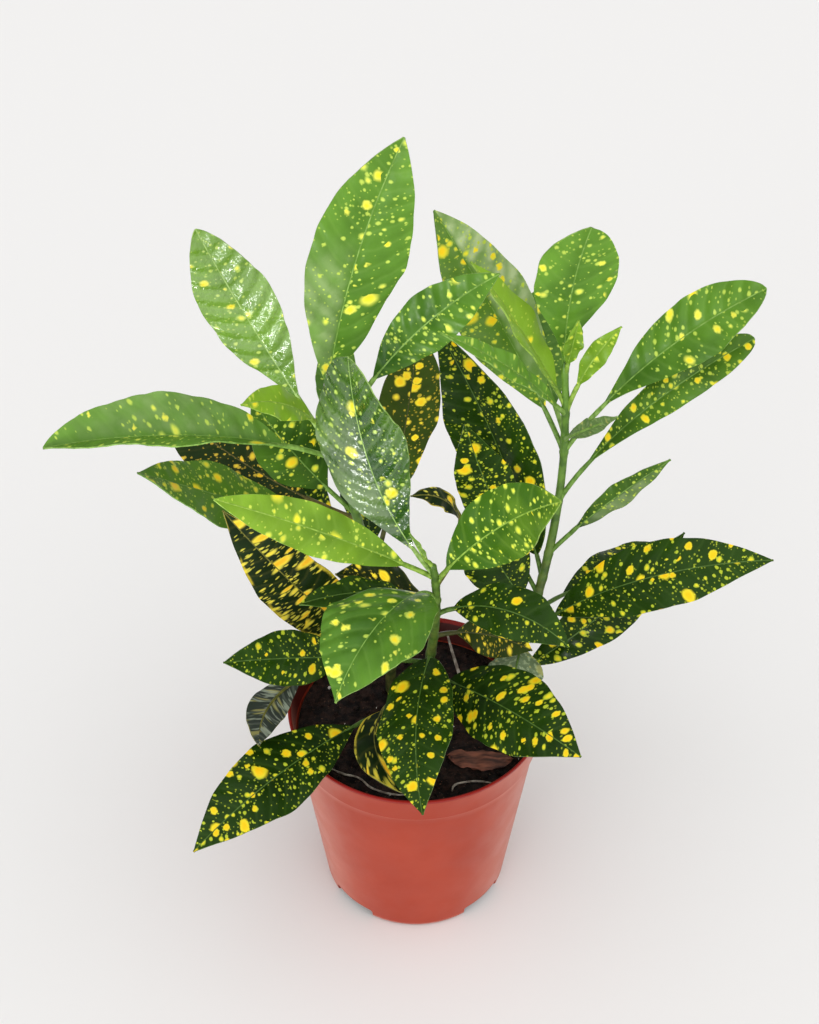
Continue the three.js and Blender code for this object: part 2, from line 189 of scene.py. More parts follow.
def broad_noise(tree, scale, detail=2.0):
    """Soft noise on object coordinates."""
    return noise(tree, object_place(tree), scale, detail)


def patches(tree, scale, detail, low, high, out_low=0.0, out_high=1.0):
    """A soft step on that noise, which makes patches."""
    return between(tree, broad_noise(tree, scale, detail), low, high, out_low, out_high)


# %% Groups
def new_group(name, numbers, results):
    """Makes a node group that reads a vector and numbers, and returns it with its two ends."""
    group = bpy.data.node_groups.new(name, "ShaderNodeTree")
    group.interface.new_socket(name="Vector", in_out="INPUT", socket_type="NodeSocketVector")
    for label, value in numbers.items():
        socket = group.interface.new_socket(name=label, in_out="INPUT", socket_type="NodeSocketFloat")
        socket.default_value = value
    for label in results:
        group.interface.new_socket(name=label, in_out="OUTPUT", socket_type="NodeSocketFloat")
    return group, group.nodes.new("NodeGroupInput").outputs, group.nodes.new("NodeGroupOutput").inputs


def use_group(tree, group, **values):
    """Places a group in a material and feeds it."""
    return feed(tree, "ShaderNodeGroup", values, node_tree=group)


# %% Materials and their colours
def new_finish(name):
    """Starts a material and returns it with its tree and its shader."""
    finish = bpy.data.materials.new(name)
    finish.use_nodes = True
    return finish, finish.node_tree, finish.node_tree.nodes["Principled BSDF"]


def shade(red, green, blue):
    """A colour of 0 to 255 a channel, as paint charts give it, as Blender's linear colour."""
    linear = []
    for value in (red, green, blue):
        part = value / 255
        linear.append(part / 12.92 if part <= 0.04045 else ((part + 0.055) / 1.055) ** 2.4)
    return (*linear, 1)


def mottled(tree, pattern, dark, light):
    """Two colours in soft patches. The pattern is what patches() reads."""
    return blend_colours(tree, patches(tree, *pattern), shade(*dark), shade(*light))


def paint(tree, shader, colour, roughness, shine=0.5):
    """Gives a shader its colour, its roughness and how strongly it reflects."""
    for name, value in (("Base Color", colour), ("Roughness", roughness), ("Specular IOR Level", shine)):
        plug(tree, value, shader.inputs[name])


def emboss(tree, shader, height, strength, depth):
    """Turns heights into a bump, whose depth is in millimetres."""
    relief = {"Strength": strength, "Distance": depth * MM, "Height": height}
    plug(tree, feed(tree, "ShaderNodeBump", relief)[0], shader.inputs["Normal"])


def wear(piece, finish):
    """Gives the whole of a piece one finish."""
    piece.data.materials.clear()
    piece.data.materials.append(finish)


# %% [markdown]
# ## Floor and light
# The plant stands on a plain pale floor in a bright room. A sky that is bright above and in front
# and dim behind lights the floor evenly, lays a soft sheen on the leaves that stand up and leaves
# the level ones dark, as a big window behind the viewer does. A lamp low on the left adds shape,
# and two narrow beams from below glint on the swellings of the two glossy leaves, which mirror what
# is low in front of them. Standard colours, not a film look, keep greens clear.

# %% The floor
bpy.ops.mesh.primitive_plane_add(size=8)
floor = bpy.context.object
floor.name = "floor"

floor_finish, tree, shader = new_finish("pale floor")
paint(tree, shader, (0.83, 0.825, 0.82, 1), 0.9, 0.1)
wear(floor, floor_finish)

# %% The sky
BRIGHT_SIDE = Vector((0.08, -0.6, 0.79)).normalized()
DIM, BRIGHT = 0.4, 1.5
FULLY_BRIGHT = 0.9

world = bpy.data.worlds.new("bright room")
world.use_nodes = True
sky = world.node_tree
background = sky.nodes["Background"]
towards = feed(sky, "ShaderNodeTexCoord", {})["Generated"]
facing = feed(sky, "ShaderNodeVectorMath", {0: towards, 1: BRIGHT_SIDE}, operation="DOT_PRODUCT")["Value"]
brightness = between(sky, facing, 0.0, FULLY_BRIGHT, DIM, BRIGHT)
plug(sky, brightness, background.inputs["Strength"])
plug(sky, (1, 0.995, 0.99, 1), background.inputs["Color"])
scene.world = world
scene.view_settings.view_transform = "Standard"


# %% The lamps
def add_lamp(kind, name, place, target, power):
    """Adds a lamp that faces a target and isn't seen itself, and returns its settings."""
    bpy.ops.object.light_add(type=kind, location=place)
    made = bpy.context.object
    made.name = name
    made.data.energy = power
    made.visible_camera = False
    made.rotation_euler = (Vector(target) - Vector(place)).to_track_quat("-Z", "Y").to_euler()
    return made.data


window = add_lamp("AREA", "low window", (-0.85, -1.45, 0.12), (0, 0, 0.25), 5.5)
set_up(window, shape="SQUARE", size=0.16)

GLINTS = [("left glint", (-0.165, -0.26, 0.03), (-0.078, 0.005, 0.315), 1.5, 0.03, 25),
          ("front glint", (-0.31, -0.585, 0.135), (-0.035, -0.065, 0.26), 5.5, 0.036, 17)]

for name, place, target, power, radius, cone in GLINTS:
    beam = add_lamp("SPOT", name, place, target, power)
    set_up(beam, shadow_soft_size=radius, spot_size=math.radians(cone), spot_blend=0.6, use_shadow=False)

# %% [markdown]
# ## Stems and leaves in numbers
# Every stem is one Bezier curve. A leaf leaves its stem at the share `at`, and its stalk and blade
# run on along a heading and a rise that change evenly to the tip, like the CAD leaf that it
# replaces. So the numbers below are the CAD's own, and only the finish of each leaf is new.

# %% Stems
STEMS = {
    "right": dict(foot=2.6, top=1.4, points=[(38, 20, 86.3), (56, 22, 140), (68, 20, 215), (59, 18, 286)]),
    "front": dict(foot=2.8, top=1.5, points=[(2, 10, 86.3), (4, 0, 130), (12, -24, 190), (6, -34, 224)]),
    "left": dict(foot=2.8, top=1.4, points=[(-12, 20, 86.3), (-10, 16, 150), (-24, 6, 215), (-38, 4, 266)]),
}


def stem_point(name, share):
    """A point on a stem's curve, in metres."""
    foot, low, high, top = [Vector(point) * MM for point in STEMS[name]["points"]]
    rest = 1 - share
    return foot * rest**3 + low * 3 * rest**2 * share + high * 3 * rest * share**2 + top * share**3


# %% Leaves of the right stem
# A leaf's pale patches on one side are a painted sheen, not a colour of the blade: each gives a side, where
# it starts and ends along, and its amount.
USUAL = dict(fold=12, curl=20, wave=1, waves=3, widest=0.5, heel=1, point=1,
             tone=0.5, stretch=1.3, slant=58, dust=1.0, spots=1.0, wax=[], blots=[])
LEAVES = []


def leaf(name, look, stem, at, heading, swing, rise, sag, petiole, length, width, roll, **shape):
    """Adds a leaf to the list. Angles are in degrees and lengths in millimetres."""
    LEAVES.append({**USUAL, **shape, "name": name, "look": look, "stem": stem, "at": at,
                   "heading": heading, "swing": swing, "rise": rise, "sag": sag,
                   "petiole": petiole, "length": length, "width": width, "roll": roll})


leaf("right_bud", "lime", "right", 0.97, -70, 0, 75, 0, 6, 25, 8, 165, fold=35, tone=0.6)
leaf("right_upright", "green", "right", 0.92, -35, 10, 99, 25, 10, 68, 34, 130, widest=0.66, heel=1.3,
     point=0.5, tone=0.75, spots=0.7, blots=[(0.78, -8.5, 1.6), (0.74, 15, 1.6), (0.57, 14, 1.3),
     (0.66, -14, 1.4)])
leaf("right_lime_folded", "lime", "right", 0.9, 180, 12, 64, 10, 8, 72, 17, -30, fold=30, tone=1.0,
     spots=0.6)
leaf("right_inward", "green", "right", 0.88, -140, -10, 52, 17, 6, 83, 10, -50, fold=20, tone=1.0,
     stretch=2.2)
leaf("right_small_light", "lime", "right", 0.88, -30, 0, 78, 22, 15, 37, 9, 90, tone=0.75)
leaf("right_curled", "green", "right", 0.82, -80, 30, 43, 0, 5, 45, 7, -75, fold=20, tone=0.4)
leaf("right_back_tall", "deep", "right", 0.79, 145, 35, 60, 0, 20, 98, 34, -50, point=0.85, tone=1.05,
     wax=[(-1, 0, 1.6, 1.0), (1, 0, 1.6, 0.15)], blots=[(0.76, -6, 1.6), (0.69, -11, 1.7), (0.64, -11, 1.8),
     (0.59, -9, 1.8)])
leaf("right_high", "green", "right", 0.79, -3, -20, 62, 22, 26, 87, 26, 55, widest=0.62, heel=0.9,
     point=0.6, tone=0.6, stretch=1.5, spots=0.5, blots=[(0.55, 10.5, 2.3), (0.67, 4, 1.9), (0.72, -5, 1.9),
     (0.82, -3.5, 1.4), (0.55, 0.5, 1.6)])
leaf("right_second", "deep", "right", 0.665, -16, 15, 67, 32, 23, 91, 17, 50, widest=0.64, heel=0.7,
     point=0.45, tone=0.65, blots=[(0.4, -3.5, 2.0), (0.38, 3.5, 1.9), (0.58, 4.5, 1.5), (0.7, -3, 1.6),
     (0.86, -1, 1.9), (0.96, -1.5, 1.6)])
leaf("right_twisted", "deep", "right", 0.52, -15, 10, 58, 15, 19, 56, 11, 90, tone=0.35, dust=1.2,
     spots=0.0, wax=[(-1, 0, 1, 0.4)])
leaf("right_low", "dark", "right", 0.27, -13, 15, 53, 53, 20, 104, 32, 35, heel=0.8, tone=0.7, spots=0.55,
     blots=[(0.4, 5.5, 2.4), (0.49, 13, 2.2), (0.57, -1.5, 1.9), (0.48, -1.5, 1.5), (0.66, 10, 2.2),
     (0.75, 4.5, 2.4), (0.83, 8, 1.5), (0.6, 15.5, 1.7), (0.26, 13, 1.8)])
leaf("right_lowest", "dark", "right", 0.12, -3, 25, 39, -12, 10, 102, 26, 60)
leaf("right_pale_underside", "dark", "right", 0.25, -104, 0, -5, 30, 3, 30, 26, 180, tone=0.9)

# %% Leaves of the front stem
leaf("front_bud", "lime", "front", 0.985, -160, 0, 60, -8, 4, 18, 4, 20, fold=35, wave=0.2, tone=0.8)
leaf("front_lime_left", "lime", "front", 0.91, -171, 10, 36, 5, 15, 87, 20, -50, heel=0.8, point=0.8,
     tone=0.7)
leaf("front_upright", "glossy", "front", 0.93, 180, -75, 54, -22, 12, 88, 42, -72, widest=0.62, point=0.45,
     tone=0.12, wax=[(1, 0, 1, 0.2)], spots=0.6, blots=[(0.57, 5.5, 2.5), (0.35, -5, 2.7), (0.43, -4, 1.2),
     (0.74, 1.5, 1.3), (0.72, -9.5, 1.3)])
leaf("front_lime_right", "lime", "front", 0.88, -10, -50, 60, 20, 9, 79, 29, 75, heel=0.85, point=0.85,
     tone=0.05)
leaf("front_nodding", "green", "front", 0.77, -121, -6, 60, 120, 20, 66, 49, 12, heel=0.8, point=1.2,
     tone=0.5, stretch=1.6, dust=0.5, spots=0.35, blots=[(0.57, -10.5, 2.0), (0.56, -16.5, 1.9),
     (0.84, -4.5, 2.4), (0.85, -8, 2.2), (0.8, -5, 1.4), (0.53, 12.5, 2.3), (0.69, 17, 2.2),
     (0.35, 11, 2.0), (0.19, 6.5, 1.6), (0.25, -3, 1.8), (0.26, -13, 2.0), (0.36, -14, 1.7),
     (0.45, -3.5, 1.4), (0.95, 1.5, 1.8), (0.6, 17, 1.2)])
leaf("front_small_left", "dark", "front", 0.77, -170, 0, 29, 45, 13, 46, 16, -10, tone=0.8, dust=0.8,
     spots=0.0)
leaf("front_right", "dark", "front", 0.68, -20, -10, 45, 80, 10, 55, 24, 25, heel=0.8, tone=0.7, spots=0.3,
     blots=[(0.5, 5, 2.2)])
leaf("front_hanging", "dark", "front", 0.45, -108, 30, -10, 20, 3, 73, 36, 25, widest=0.45, heel=0.6,
     tone=0.6, spots=0.7, blots=[(0.26, 12.5, 2.3), (0.11, 6, 1.5), (0.57, 11, 1.9), (0.53, -7, 1.8),
     (0.4, -3.5, 1.6), (0.65, -12, 1.9), (0.71, -9.5, 1.6), (0.67, 7.5, 1.9), (0.83, -2.5, 2.7),
     (0.33, -13.5, 2.1), (0.21, -13, 1.4)])
leaf("front_low_left", "dark", "front", 0.39, -160, 10, 25, 5, 40, 62, 24, -50, tone=0.7, dust=0.7,
     spots=0.12, blots=[(0.33, 5, 2.5), (0.4, -2, 1.7), (0.68, -2, 1.1), (0.56, 6, 1.1)])
leaf("front_low_right", "dark", "front", 0.32, -50, 10, 27, 36, 16, 76, 37, 30, heel=0.7, tone=0.35,
     stretch=1.8, spots=0.55, blots=[(0.4, 3.5, 2.5), (0.32, -9, 2.3), (0.2, -4, 2.0), (0.25, -14, 2.1),
     (0.36, 11, 1.7), (0.5, 10.5, 2.5), (0.53, 13, 2.2), (0.55, 7.5, 2.1), (0.63, 9, 1.8), (0.75, 9, 1.8),
     (0.46, -10.5, 1.8), (0.56, -11, 2.1), (0.68, -8, 1.6), (0.74, -6, 2.0), (0.79, -0.5, 2.4),
     (0.92, -2.5, 1.9), (0.88, 3, 2.0)])
leaf("front_over_rim", "dark", "front", 0.16, -140, 5, 20, 40, 42, 93, 34, -15, tone=0.3, spots=0.6,
     blots=[(0.24, -6.5, 2.0), (0.38, -5.5, 2.4), (0.56, -11.5, 1.6), (0.64, -14, 2.2), (0.51, -16, 2.2),
     (0.81, -6, 2.1), (0.34, 3.5, 2.0), (0.35, 8, 1.9), (0.67, 5.5, 1.6), (0.76, 8, 3.0), (0.87, 1.5, 2.0),
     (0.82, 3, 1.9), (0.63, 0, 1.6)])
leaf("front_streaked", "streaked", "front", 0.21, -155, 115, 20, 32, 28, 53, 19, 0, stretch=4.0, slant=12)
leaf("front_orange", "old", "front", 0.55, 50, -40, -25, 15, 16, 50, 20, 60, stretch=1.6)
leaf("front_inner_left", "old", "front", 0.71, 130, 35, 0, 10, 5, 48, 24, -85, tone=0.1,
     blots=[(0.5, -3, 2.4)])

# %% Leaves of the left stem
leaf("left_tall", "green", "left", 0.99, 30, -40, 83, 17, 19, 107, 38, 98, widest=0.53, heel=0.8,
     point=0.85, tone=0.75, wax=[(1, 0, 0.62, 0.42)], spots=0.75, blots=[(0.73, 3, 2.2), (0.32, -3, 2.4),
     (0.51, -4.5, 1.4), (0.69, 9.5, 1.3), (0.42, -2.5, 1.1), (0.08, 2.5, 2.2), (0.95, 0.5, 1.2)])
leaf("left_glossy", "glossy", "left", 0.91, 180, 28, 63, -6, 27, 88, 28, -100, widest=0.56, point=0.7,
     tone=0.9, wax=[(-1, 0, 1, 0.12), (1, 0, 1, 0.08)], spots=0.6, blots=[(0.76, 7, 1.7), (0.6, 3, 1.5),
     (0.87, -9, 1.5), (0.3, 6.5, 1.8)])
leaf("left_small_lime", "lime", "left", 0.955, -132, 5, 64, 46, 15, 47, 14, -50, tone=1.05, stretch=2.0,
     spots=1.4)
leaf("left_inward", "green", "left", 0.92, 10, -40, 66, 27, 36, 75, 22, 82, point=0.9, tone=0.42)
leaf("left_long", "green", "left", 0.88, -152, -26, 38, 50, 26, 96, 33, -13, fold=42, curl=14, heel=0.8,
     point=0.7, tone=0.7, stretch=1.9, wax=[(-1, 0, 1, 0.22)], spots=0.7, blots=[(0.51, -6.5, 1.7),
     (0.17, -8.5, 1.6), (0.63, -3.5, 1.4), (0.8, -9.5, 1.3)])
leaf("left_middle", "deep", "left", 0.7, -172, -12, 50, -12, 18, 54, 28, -60, tone=0.4)
leaf("left_orange_edged", "edged", "left", 0.68, 152, -8, 2, -22, 25, 85, 35, -26)
leaf("left_outer", "deep", "left", 0.56, 175, 55, 31, -10, 31, 90, 30, -30, tone=1.25, dust=1.3, spots=1.6)
leaf("left_streaked", "streaked", "left", 0.18, -140, -10, 53, -10, 28, 120, 30, -100, widest=0.45,
     stretch=2.6, slant=85, spots=1.0)
leaf("left_turned_over", "streaked", "left", 0.15, -176, 96, 17, 8, 47, 57, 17, 160, stretch=6.0, spots=0.6)

# %% Leaves in the middle and on the far side
leaf("middle_back", "dark", "right", 0.45, 140, 28, 70, 10, 12, 118, 40, -90, fold=20, widest=0.45,
     heel=0.8, spots=0.8, blots=[(0.92, -4, 2.0), (0.76, -8, 2.4), (0.79, -11, 1.7), (0.78, -2, 1.6),
     (0.59, -7, 2.0)])
leaf("middle_second", "dark", "right", 0.4, 175, 5, 64, -10, 30, 70, 26, -90, spots=1.3,
     blots=[(0.45, 3, 2.4), (0.4, -1, 2.0), (0.5, -2.5, 1.8), (0.75, 5, 1.9)])
leaf("middle_orange", "old", "left", 0.5, 43, 12, 70, -10, 34, 81, 28, 58, widest=0.6, heel=0.6, tone=0.85,
     blots=[(0.75, 3, 2.4), (0.6, -5, 2.7), (0.82, 7, 2.6), (0.72, -2, 2.2), (0.4, -5, 2.0),
     (0.8, -2, 2.0)])
leaf("middle_arched", "streaked", "front", 0.86, 40, 120, 36, 65, 34, 36, 9, -75, stretch=2.5, slant=12)
leaf("middle_low", "dark", "right", 0.33, -160, -17, 66, 6, 13, 58, 30, -85)
leaf("back_upper_right", "green", "right", 0.83, 105, -20, 22, 15, 15, 72, 28, 10)
leaf("back_low_right", "dark", "right", 0.34, 42, -5, 0, 20, 20, 95, 28, 0)
leaf("back_upper_left", "green", "left", 0.85, 100, -20, 20, 5, 20, 56, 18, 5)
leaf("back_low_left", "dark", "left", 0.6, 135, -15, 5, 0, 20, 82, 28, -20)
leaf("back_middle", "dark", "left", 0.46, 100, -15, 22, 18, 18, 70, 26, 0)
leaf("back_lowest", "dark", "right", 0.23, 105, -15, 14, 0, 16, 66, 27, 0)
print("leaves:", len(LEAVES))

# %% [markdown]
# ## Group: spots of one size
# Croton leaves are spattered as if with paint. A Voronoi texture gives every cell one random point
# and one random colour. The distance to that point draws a round spot, and the random colour says
# whether the cell holds a spot and how large it is. Four sizes laid over each other look real.
# Cells are measured in millimetres on the leaf's map, where one unit is 100 mm.

# %% Spots
MAP_UNIT = 100

spots, given, result = new_group(
    "Spots", dict(Cell=5.0, Share=0.5, Smallest=0.1, Largest=0.4, Blur=0.2, Ragged=0.1), ["Mask", "Core"])
cells = scaled(spots, given["Vector"], reckon(spots, "DIVIDE", MAP_UNIT, given["Cell"]))
ragged = noise(spots, cells, 3.1, 1.0, "2D", "Color")
shift = scaled(spots, ragged, given["Ragged"])
placed = feed(spots, "ShaderNodeVectorMath", {0: cells, 1: shift}, operation="ADD")[0]
cell = feed(spots, "ShaderNodeTexVoronoi", {"Vector": placed, "Scale": 1.0}, voronoi_dimensions="2D")
chance = feed(spots, "ShaderNodeSeparateColor", {0: cell["Color"]})
there = reckon(spots, "LESS_THAN", chance[0], given["Share"])
growth = reckon(spots, "POWER", chance[1], 1.6)
room = reckon(spots, "SUBTRACT", given["Largest"], given["Smallest"])
radius = reckon(spots, "MULTIPLY_ADD", growth, room, given["Smallest"])
reach = reckon(spots, "DIVIDE", cell["Distance"], radius)
inner = reckon(spots, "SUBTRACT", 1.0, given["Blur"])
outer = reckon(spots, "ADD", 1.0, given["Blur"])
disc = between(spots, reach, inner, outer, 1.0, 0.0)
core = between(spots, reach, 0.25, 0.95, 1.0, 0.0)
plug(spots, times(spots, disc, there), result["Mask"])
plug(spots, times(spots, core, there), result["Core"])
print("group:", spots.name)

# %% [markdown]
# ## Group: midrib and side veins
# Side veins leave the midrib in pairs and bend towards the tip, and the blade swells a little
# between them like a quilt. The leaf's own UV map lies flat at true size, one unit to 100 mm, so
# the same distances make veins on every leaf: how far along, and how far out from the midrib.

# %% Veins
VEIN_SPACING = 8.5
VEIN_SLANT = 0.45
VEIN_BEND = 0.022
SWELLING = 0.8

veins, given, result = new_group(
    "Veins", dict(Spacing=0.05, Rib=0.003, Thickness=0.1), ["Midrib", "Side veins", "Quilt"])
flat_along, flat_out, _ = parts_of(veins, given["Vector"])
out = reckon(veins, "ABSOLUTE", reckon(veins, "SUBTRACT", flat_out, 0.5))
slant = reckon(veins, "MULTIPLY_ADD", out, VEIN_BEND * MAP_UNIT, VEIN_SLANT)
along = reckon(veins, "SUBTRACT", flat_along, times(veins, out, slant))
wander = noise(veins, given["Vector"], 14.0, dimensions="2D")
strayed = reckon(veins, "MULTIPLY_ADD", wander, 0.02, along)
pairs = reckon(veins, "FRACT", reckon(veins, "DIVIDE", strayed, given["Spacing"]))
middle = reckon(veins, "ABSOLUTE", reckon(veins, "SUBTRACT", pairs, 0.5))
line = between(veins, middle, reckon(veins, "SUBTRACT", 0.5, given["Thickness"]), 0.5)
plug(veins, line, result["Side veins"])
plug(veins, between(veins, out, 0.0, given["Rib"], 1.0, 0.0), result["Midrib"])
plug(veins, between(veins, middle, 0.0, 0.5, 1.0, 0.0), result["Quilt"])
print("group:", veins.name)

# %% [markdown]
# ## Leaf finishes
# A young leaf is fresh green with pale specks. As it ages the green turns nearly black, the specks
# multiply and the large spots ripen from yellow to orange. The same network makes all of them, and
# only its colours and amounts change, so they are named once for each look.

# %% Colours and amounts of each look
LOOKS = {
    "lime": dict(
        deep=(56, 96, 12), fresh=(128, 168, 42), rib=(150, 182, 76), speck=(190, 210, 78),
        spot=(222, 224, 64), ripe=(246, 224, 40), under=((104, 138, 60), (142, 168, 96)),
        fine=0.2, specks=0.4, mids=0.6, bigs=0.2, shine=0.22, rough=0.34, quilt=0.25, edge=0.0, blur=0.45,
    ),
    "green": dict(
        deep=(34, 74, 12), fresh=(98, 144, 44), rib=(134, 170, 82), speck=(180, 204, 82),
        spot=(220, 224, 84), ripe=(246, 222, 50), under=((92, 124, 60), (124, 150, 88)),
        fine=0.3, specks=0.5, mids=0.42, bigs=0.16, shine=0.2, rough=0.3, quilt=0.85, edge=0.0, blur=0.45,
    ),
    "glossy": dict(
        deep=(34, 72, 20), fresh=(106, 148, 44), rib=(160, 190, 110), speck=(180, 204, 96),
        spot=(222, 220, 80), ripe=(250, 218, 44), under=((92, 124, 60), (124, 150, 88)),
        fine=0.25, specks=0.35, mids=0.3, bigs=0.06, shine=1.0, rough=0.12, quilt=1.1, edge=0.0, blur=0.5,
    ),
    "deep": dict(
        deep=(24, 54, 6), fresh=(84, 126, 34), rib=(112, 148, 66), speck=(176, 196, 70),
        spot=(226, 216, 54), ripe=(246, 208, 34), under=((76, 102, 58), (112, 134, 90)),
        fine=0.4, specks=0.55, mids=0.5, bigs=0.4, shine=0.16, rough=0.3, quilt=0.45, edge=0.0, blur=0.32,
    ),
    "dark": dict(
        deep=(18, 40, 2), fresh=(38, 68, 6), rib=(84, 114, 44), speck=(176, 190, 50),
        spot=(230, 212, 42), ripe=(246, 198, 22), under=((96, 116, 78), (150, 166, 126)),
        fine=0.55, specks=0.62, mids=0.62, bigs=0.62, shine=0.12, rough=0.26, quilt=0.4, edge=0.0, blur=0.26,
    ),
    "old": dict(
        deep=(20, 32, 4), fresh=(58, 78, 18), rib=(78, 80, 34), speck=(190, 168, 50),
        spot=(254, 228, 56), ripe=(255, 212, 36), under=((66, 72, 52), (98, 104, 78)),
        fine=0.5, specks=0.65, mids=0.66, bigs=0.66, shine=0.1, rough=0.32, quilt=0.5, edge=0.0, blur=0.26,
    ),
    "edged": dict(
        deep=(14, 30, 4), fresh=(36, 58, 8), rib=(96, 88, 36), speck=(196, 168, 56),
        spot=(230, 200, 50), ripe=(246, 184, 34), under=((66, 72, 52), (98, 104, 78)),
        fine=0.45, specks=0.55, mids=0.55, bigs=0.55, shine=0.1, rough=0.3, quilt=0.5, edge=0.8, blur=0.26,
    ),
    "streaked": dict(
        deep=(10, 24, 6), fresh=(26, 46, 14), rib=(120, 116, 50), speck=(200, 190, 70),
        spot=(232, 208, 64), ripe=(242, 184, 40), under=((34, 46, 34), (140, 150, 132)),
        fine=0.5, specks=0.7, mids=0.8, bigs=0.7, shine=0.14, rough=0.3, quilt=0.4, edge=0.6, blur=0.3,
    ),
}


# %% What the finishes of a blade share
def own_map(tree, name):
    """One of the leaf's UV maps."""
    return feed(tree, "ShaderNodeUVMap", {}, uv_map=name)[0]


def own_value(tree, name):
    """A number that the leaf itself carries."""
    return feed(tree, "ShaderNodeAttribute", {}, attribute_name=name)["Fac"]


def vein_lines(tree, rib):
    """The veins of a blade, with a midrib of a given width."""
    return use_group(tree, veins, Vector=own_map(tree, "blade"), Spacing=VEIN_SPACING / MAP_UNIT, Rib=rib,
                     Thickness=0.16)


SPLASHES = [("fine", "dust", 1.6, 0.12, 0.27), ("specks", "dust", 3.2, 0.1, 0.24),
            ("mids", "spots", 5.6, 0.11, 0.26), ("bigs", "spots", 10.0, 0.1, 0.29)]


def splash_layers(tree, tone, blur):
    """The four sizes of spots, from specks to blotches, all thicker in some places than in others."""
    speckle = own_map(tree, "speckle")
    crowding = between(tree, noise(tree, speckle, 5.0, dimensions="2D"), 0.32, 0.66, 0.3, 1.3)
    layers = []
    for amount, own, cell, smallest, largest in SPLASHES:
        crowded = times(tree, crowding, own_value(tree, own))
        share = times(tree, crowded, tone[amount])
        layers.append(use_group(tree, spots, Vector=speckle, Cell=cell, Share=share, Smallest=smallest,
                                Largest=largest, Blur=blur, Ragged=0.12))
    return layers


# %% The upper face of a blade
def base_green(tree, tone, quilt):
    """The green of a blade: the leaf's own tone, with clouds, and a pale painted sheen on its swellings."""
    clouds = patches(tree, 55.0, 2.0, 0.3, 0.7, -0.2, 0.2)
    ripeness = reckon(tree, "ADD", own_value(tree, "tone"), clouds)
    green = blend_colours(tree, ripeness, shade(*tone["deep"]), shade(*tone["fresh"]))
    broken = patches(tree, 140.0, 4.0, 0.36, 0.6, 0.45, 1.0)
    # The pale colour laid here is a painted sheen, broken into patches and strongest on the swellings.
    waxy = times(tree, own_value(tree, "wax"), broken)
    swollen = times(tree, waxy, reckon(tree, "MULTIPLY_ADD", quilt, 0.5, 0.6))
    return blend_colours(tree, swollen, green, shade(170, 188, 136))


def yellow_margin(tree, amount):
    """A mask for the margin, in ragged stretches."""
    _, across, _ = parts_of(tree, own_map(tree, "shape"))
    margin = reckon(tree, "ABSOLUTE", reckon(tree, "SUBTRACT", across, 0.5))
    frayed = reckon(tree, "MULTIPLY_ADD", broad_noise(tree, 130.0), 0.12, margin)
    stretches = patches(tree, 75.0, 2.0, 0.45, 0.58, 0.0, amount)
    return times(tree, between(tree, frayed, 0.49, 0.54), stretches)


def blade_finish(look):
    """The glossy upper face of a leaf."""
    tone = LOOKS[look]
    rib, speck, spot, ripe = [shade(*tone[name]) for name in ("rib", "speck", "spot", "ripe")]
    finish, tree, shader = new_finish(f"leaf {look}")
    fine, small, mid, big = splash_layers(tree, tone, tone["blur"])
    lines = vein_lines(tree, 0.004)
    crumple = broad_noise(tree, 420.0, 3.0)
    reach = reckon(tree, "MULTIPLY_ADD", crumple, 0.8, own_value(tree, "blot"))
    ripening = blend_colours(tree, between(tree, reach, 0.7, 1.2, 1.0, 0.0), spot, ripe)
    colour = coated(
        tree, base_green(tree, tone, lines["Quilt"]),
        (times(tree, lines["Side veins"], 0.1), rib),
        (times(tree, fine["Mask"], 0.6), speck),
        (small["Mask"], speck),
        (mid["Mask"], blend_colours(tree, mid["Core"], speck, spot)),
        (big["Mask"], blend_colours(tree, big["Core"], spot, ripe)),
        (between(tree, reach, 1.1, 1.1 + tone["blur"], 1.0, 0.0), ripening),
        (yellow_margin(tree, tone["edge"]), spot),
        (times(tree, lines["Midrib"], 0.7), rib),
    )
    worn = patches(tree, 180.0, 3.0, 0.3, 0.75, tone["rough"], tone["rough"] + 0.14)
    paint(tree, shader, colour, worn, tone["shine"])
    crinkled, strength = (1.1, 0.9) if look == "glossy" else (0.4, 0.5)
    height = reckon(tree, "MULTIPLY_ADD", lines["Quilt"], tone["quilt"], times(tree, crumple, crinkled))
    emboss(tree, shader, height, strength, 0.7)
    return finish


# %% [markdown]
# ## Underside of a leaf
# The back of a blade is paler, greyer and dull, the spots show through it faintly, and the veins
# stand out. Where a leaf is turned over, this is what is seen.

# %% The underside
def under_finish(look):
    """The matt underside of a leaf."""
    tone = LOOKS[look]
    dull, pale = [shade(*colour) for colour in tone["under"]]
    finish, tree, shader = new_finish(f"underside {look}")
    _, small, mid, big = splash_layers(tree, tone, 0.45)
    lines = vein_lines(tree, 0.006)
    grain = noise(tree, own_map(tree, "speckle"), 60.0, dimensions="2D")
    shown = reckon(tree, "MAXIMUM", reckon(tree, "MAXIMUM", small["Mask"], mid["Mask"]), big["Mask"])
    colour = coated(
        tree, dull,
        (between(tree, grain, 0.52, 0.66), pale),
        (times(tree, lines["Side veins"], 0.2), pale),
        (times(tree, shown, 0.4), shade(212, 204, 112)),
    )
    paint(tree, shader, colour, 0.5)
    emboss(tree, shader, lines["Side veins"], 0.5, 0.4)
    return finish


def rib_finish(look):
    """Stalk, midrib and margin of a leaf."""
    light = LOOKS[look]["rib"]
    dark = [channel * share for channel, share in zip(light, (0.72, 0.78, 0.6))]
    finish, tree, shader = new_finish(f"rib {look}")
    paint(tree, shader, mottled(tree, (400.0, 3.0, 0.35, 0.65), dark, light),
          patches(tree, 250.0, 2.0, 0.3, 0.7, 0.34, 0.5), 0.25)
    return finish


blade_finishes = {look: [blade_finish(look), under_finish(look), rib_finish(look)] for look in LOOKS}
print("leaf finishes:", sorted(blade_finishes))

# %% [markdown]
# ## The leaf blank
# All the blades begin as one flat sheet, a grid with its rows closer together at the ends, where
# an outline bends most. Each leaf takes a copy of it. The Curve modifier would lay a blade along
# its midrib too, but it flips where a leaf passes the vertical, and it knows no fold, so the
# sheet's corners are carried to their places in code.

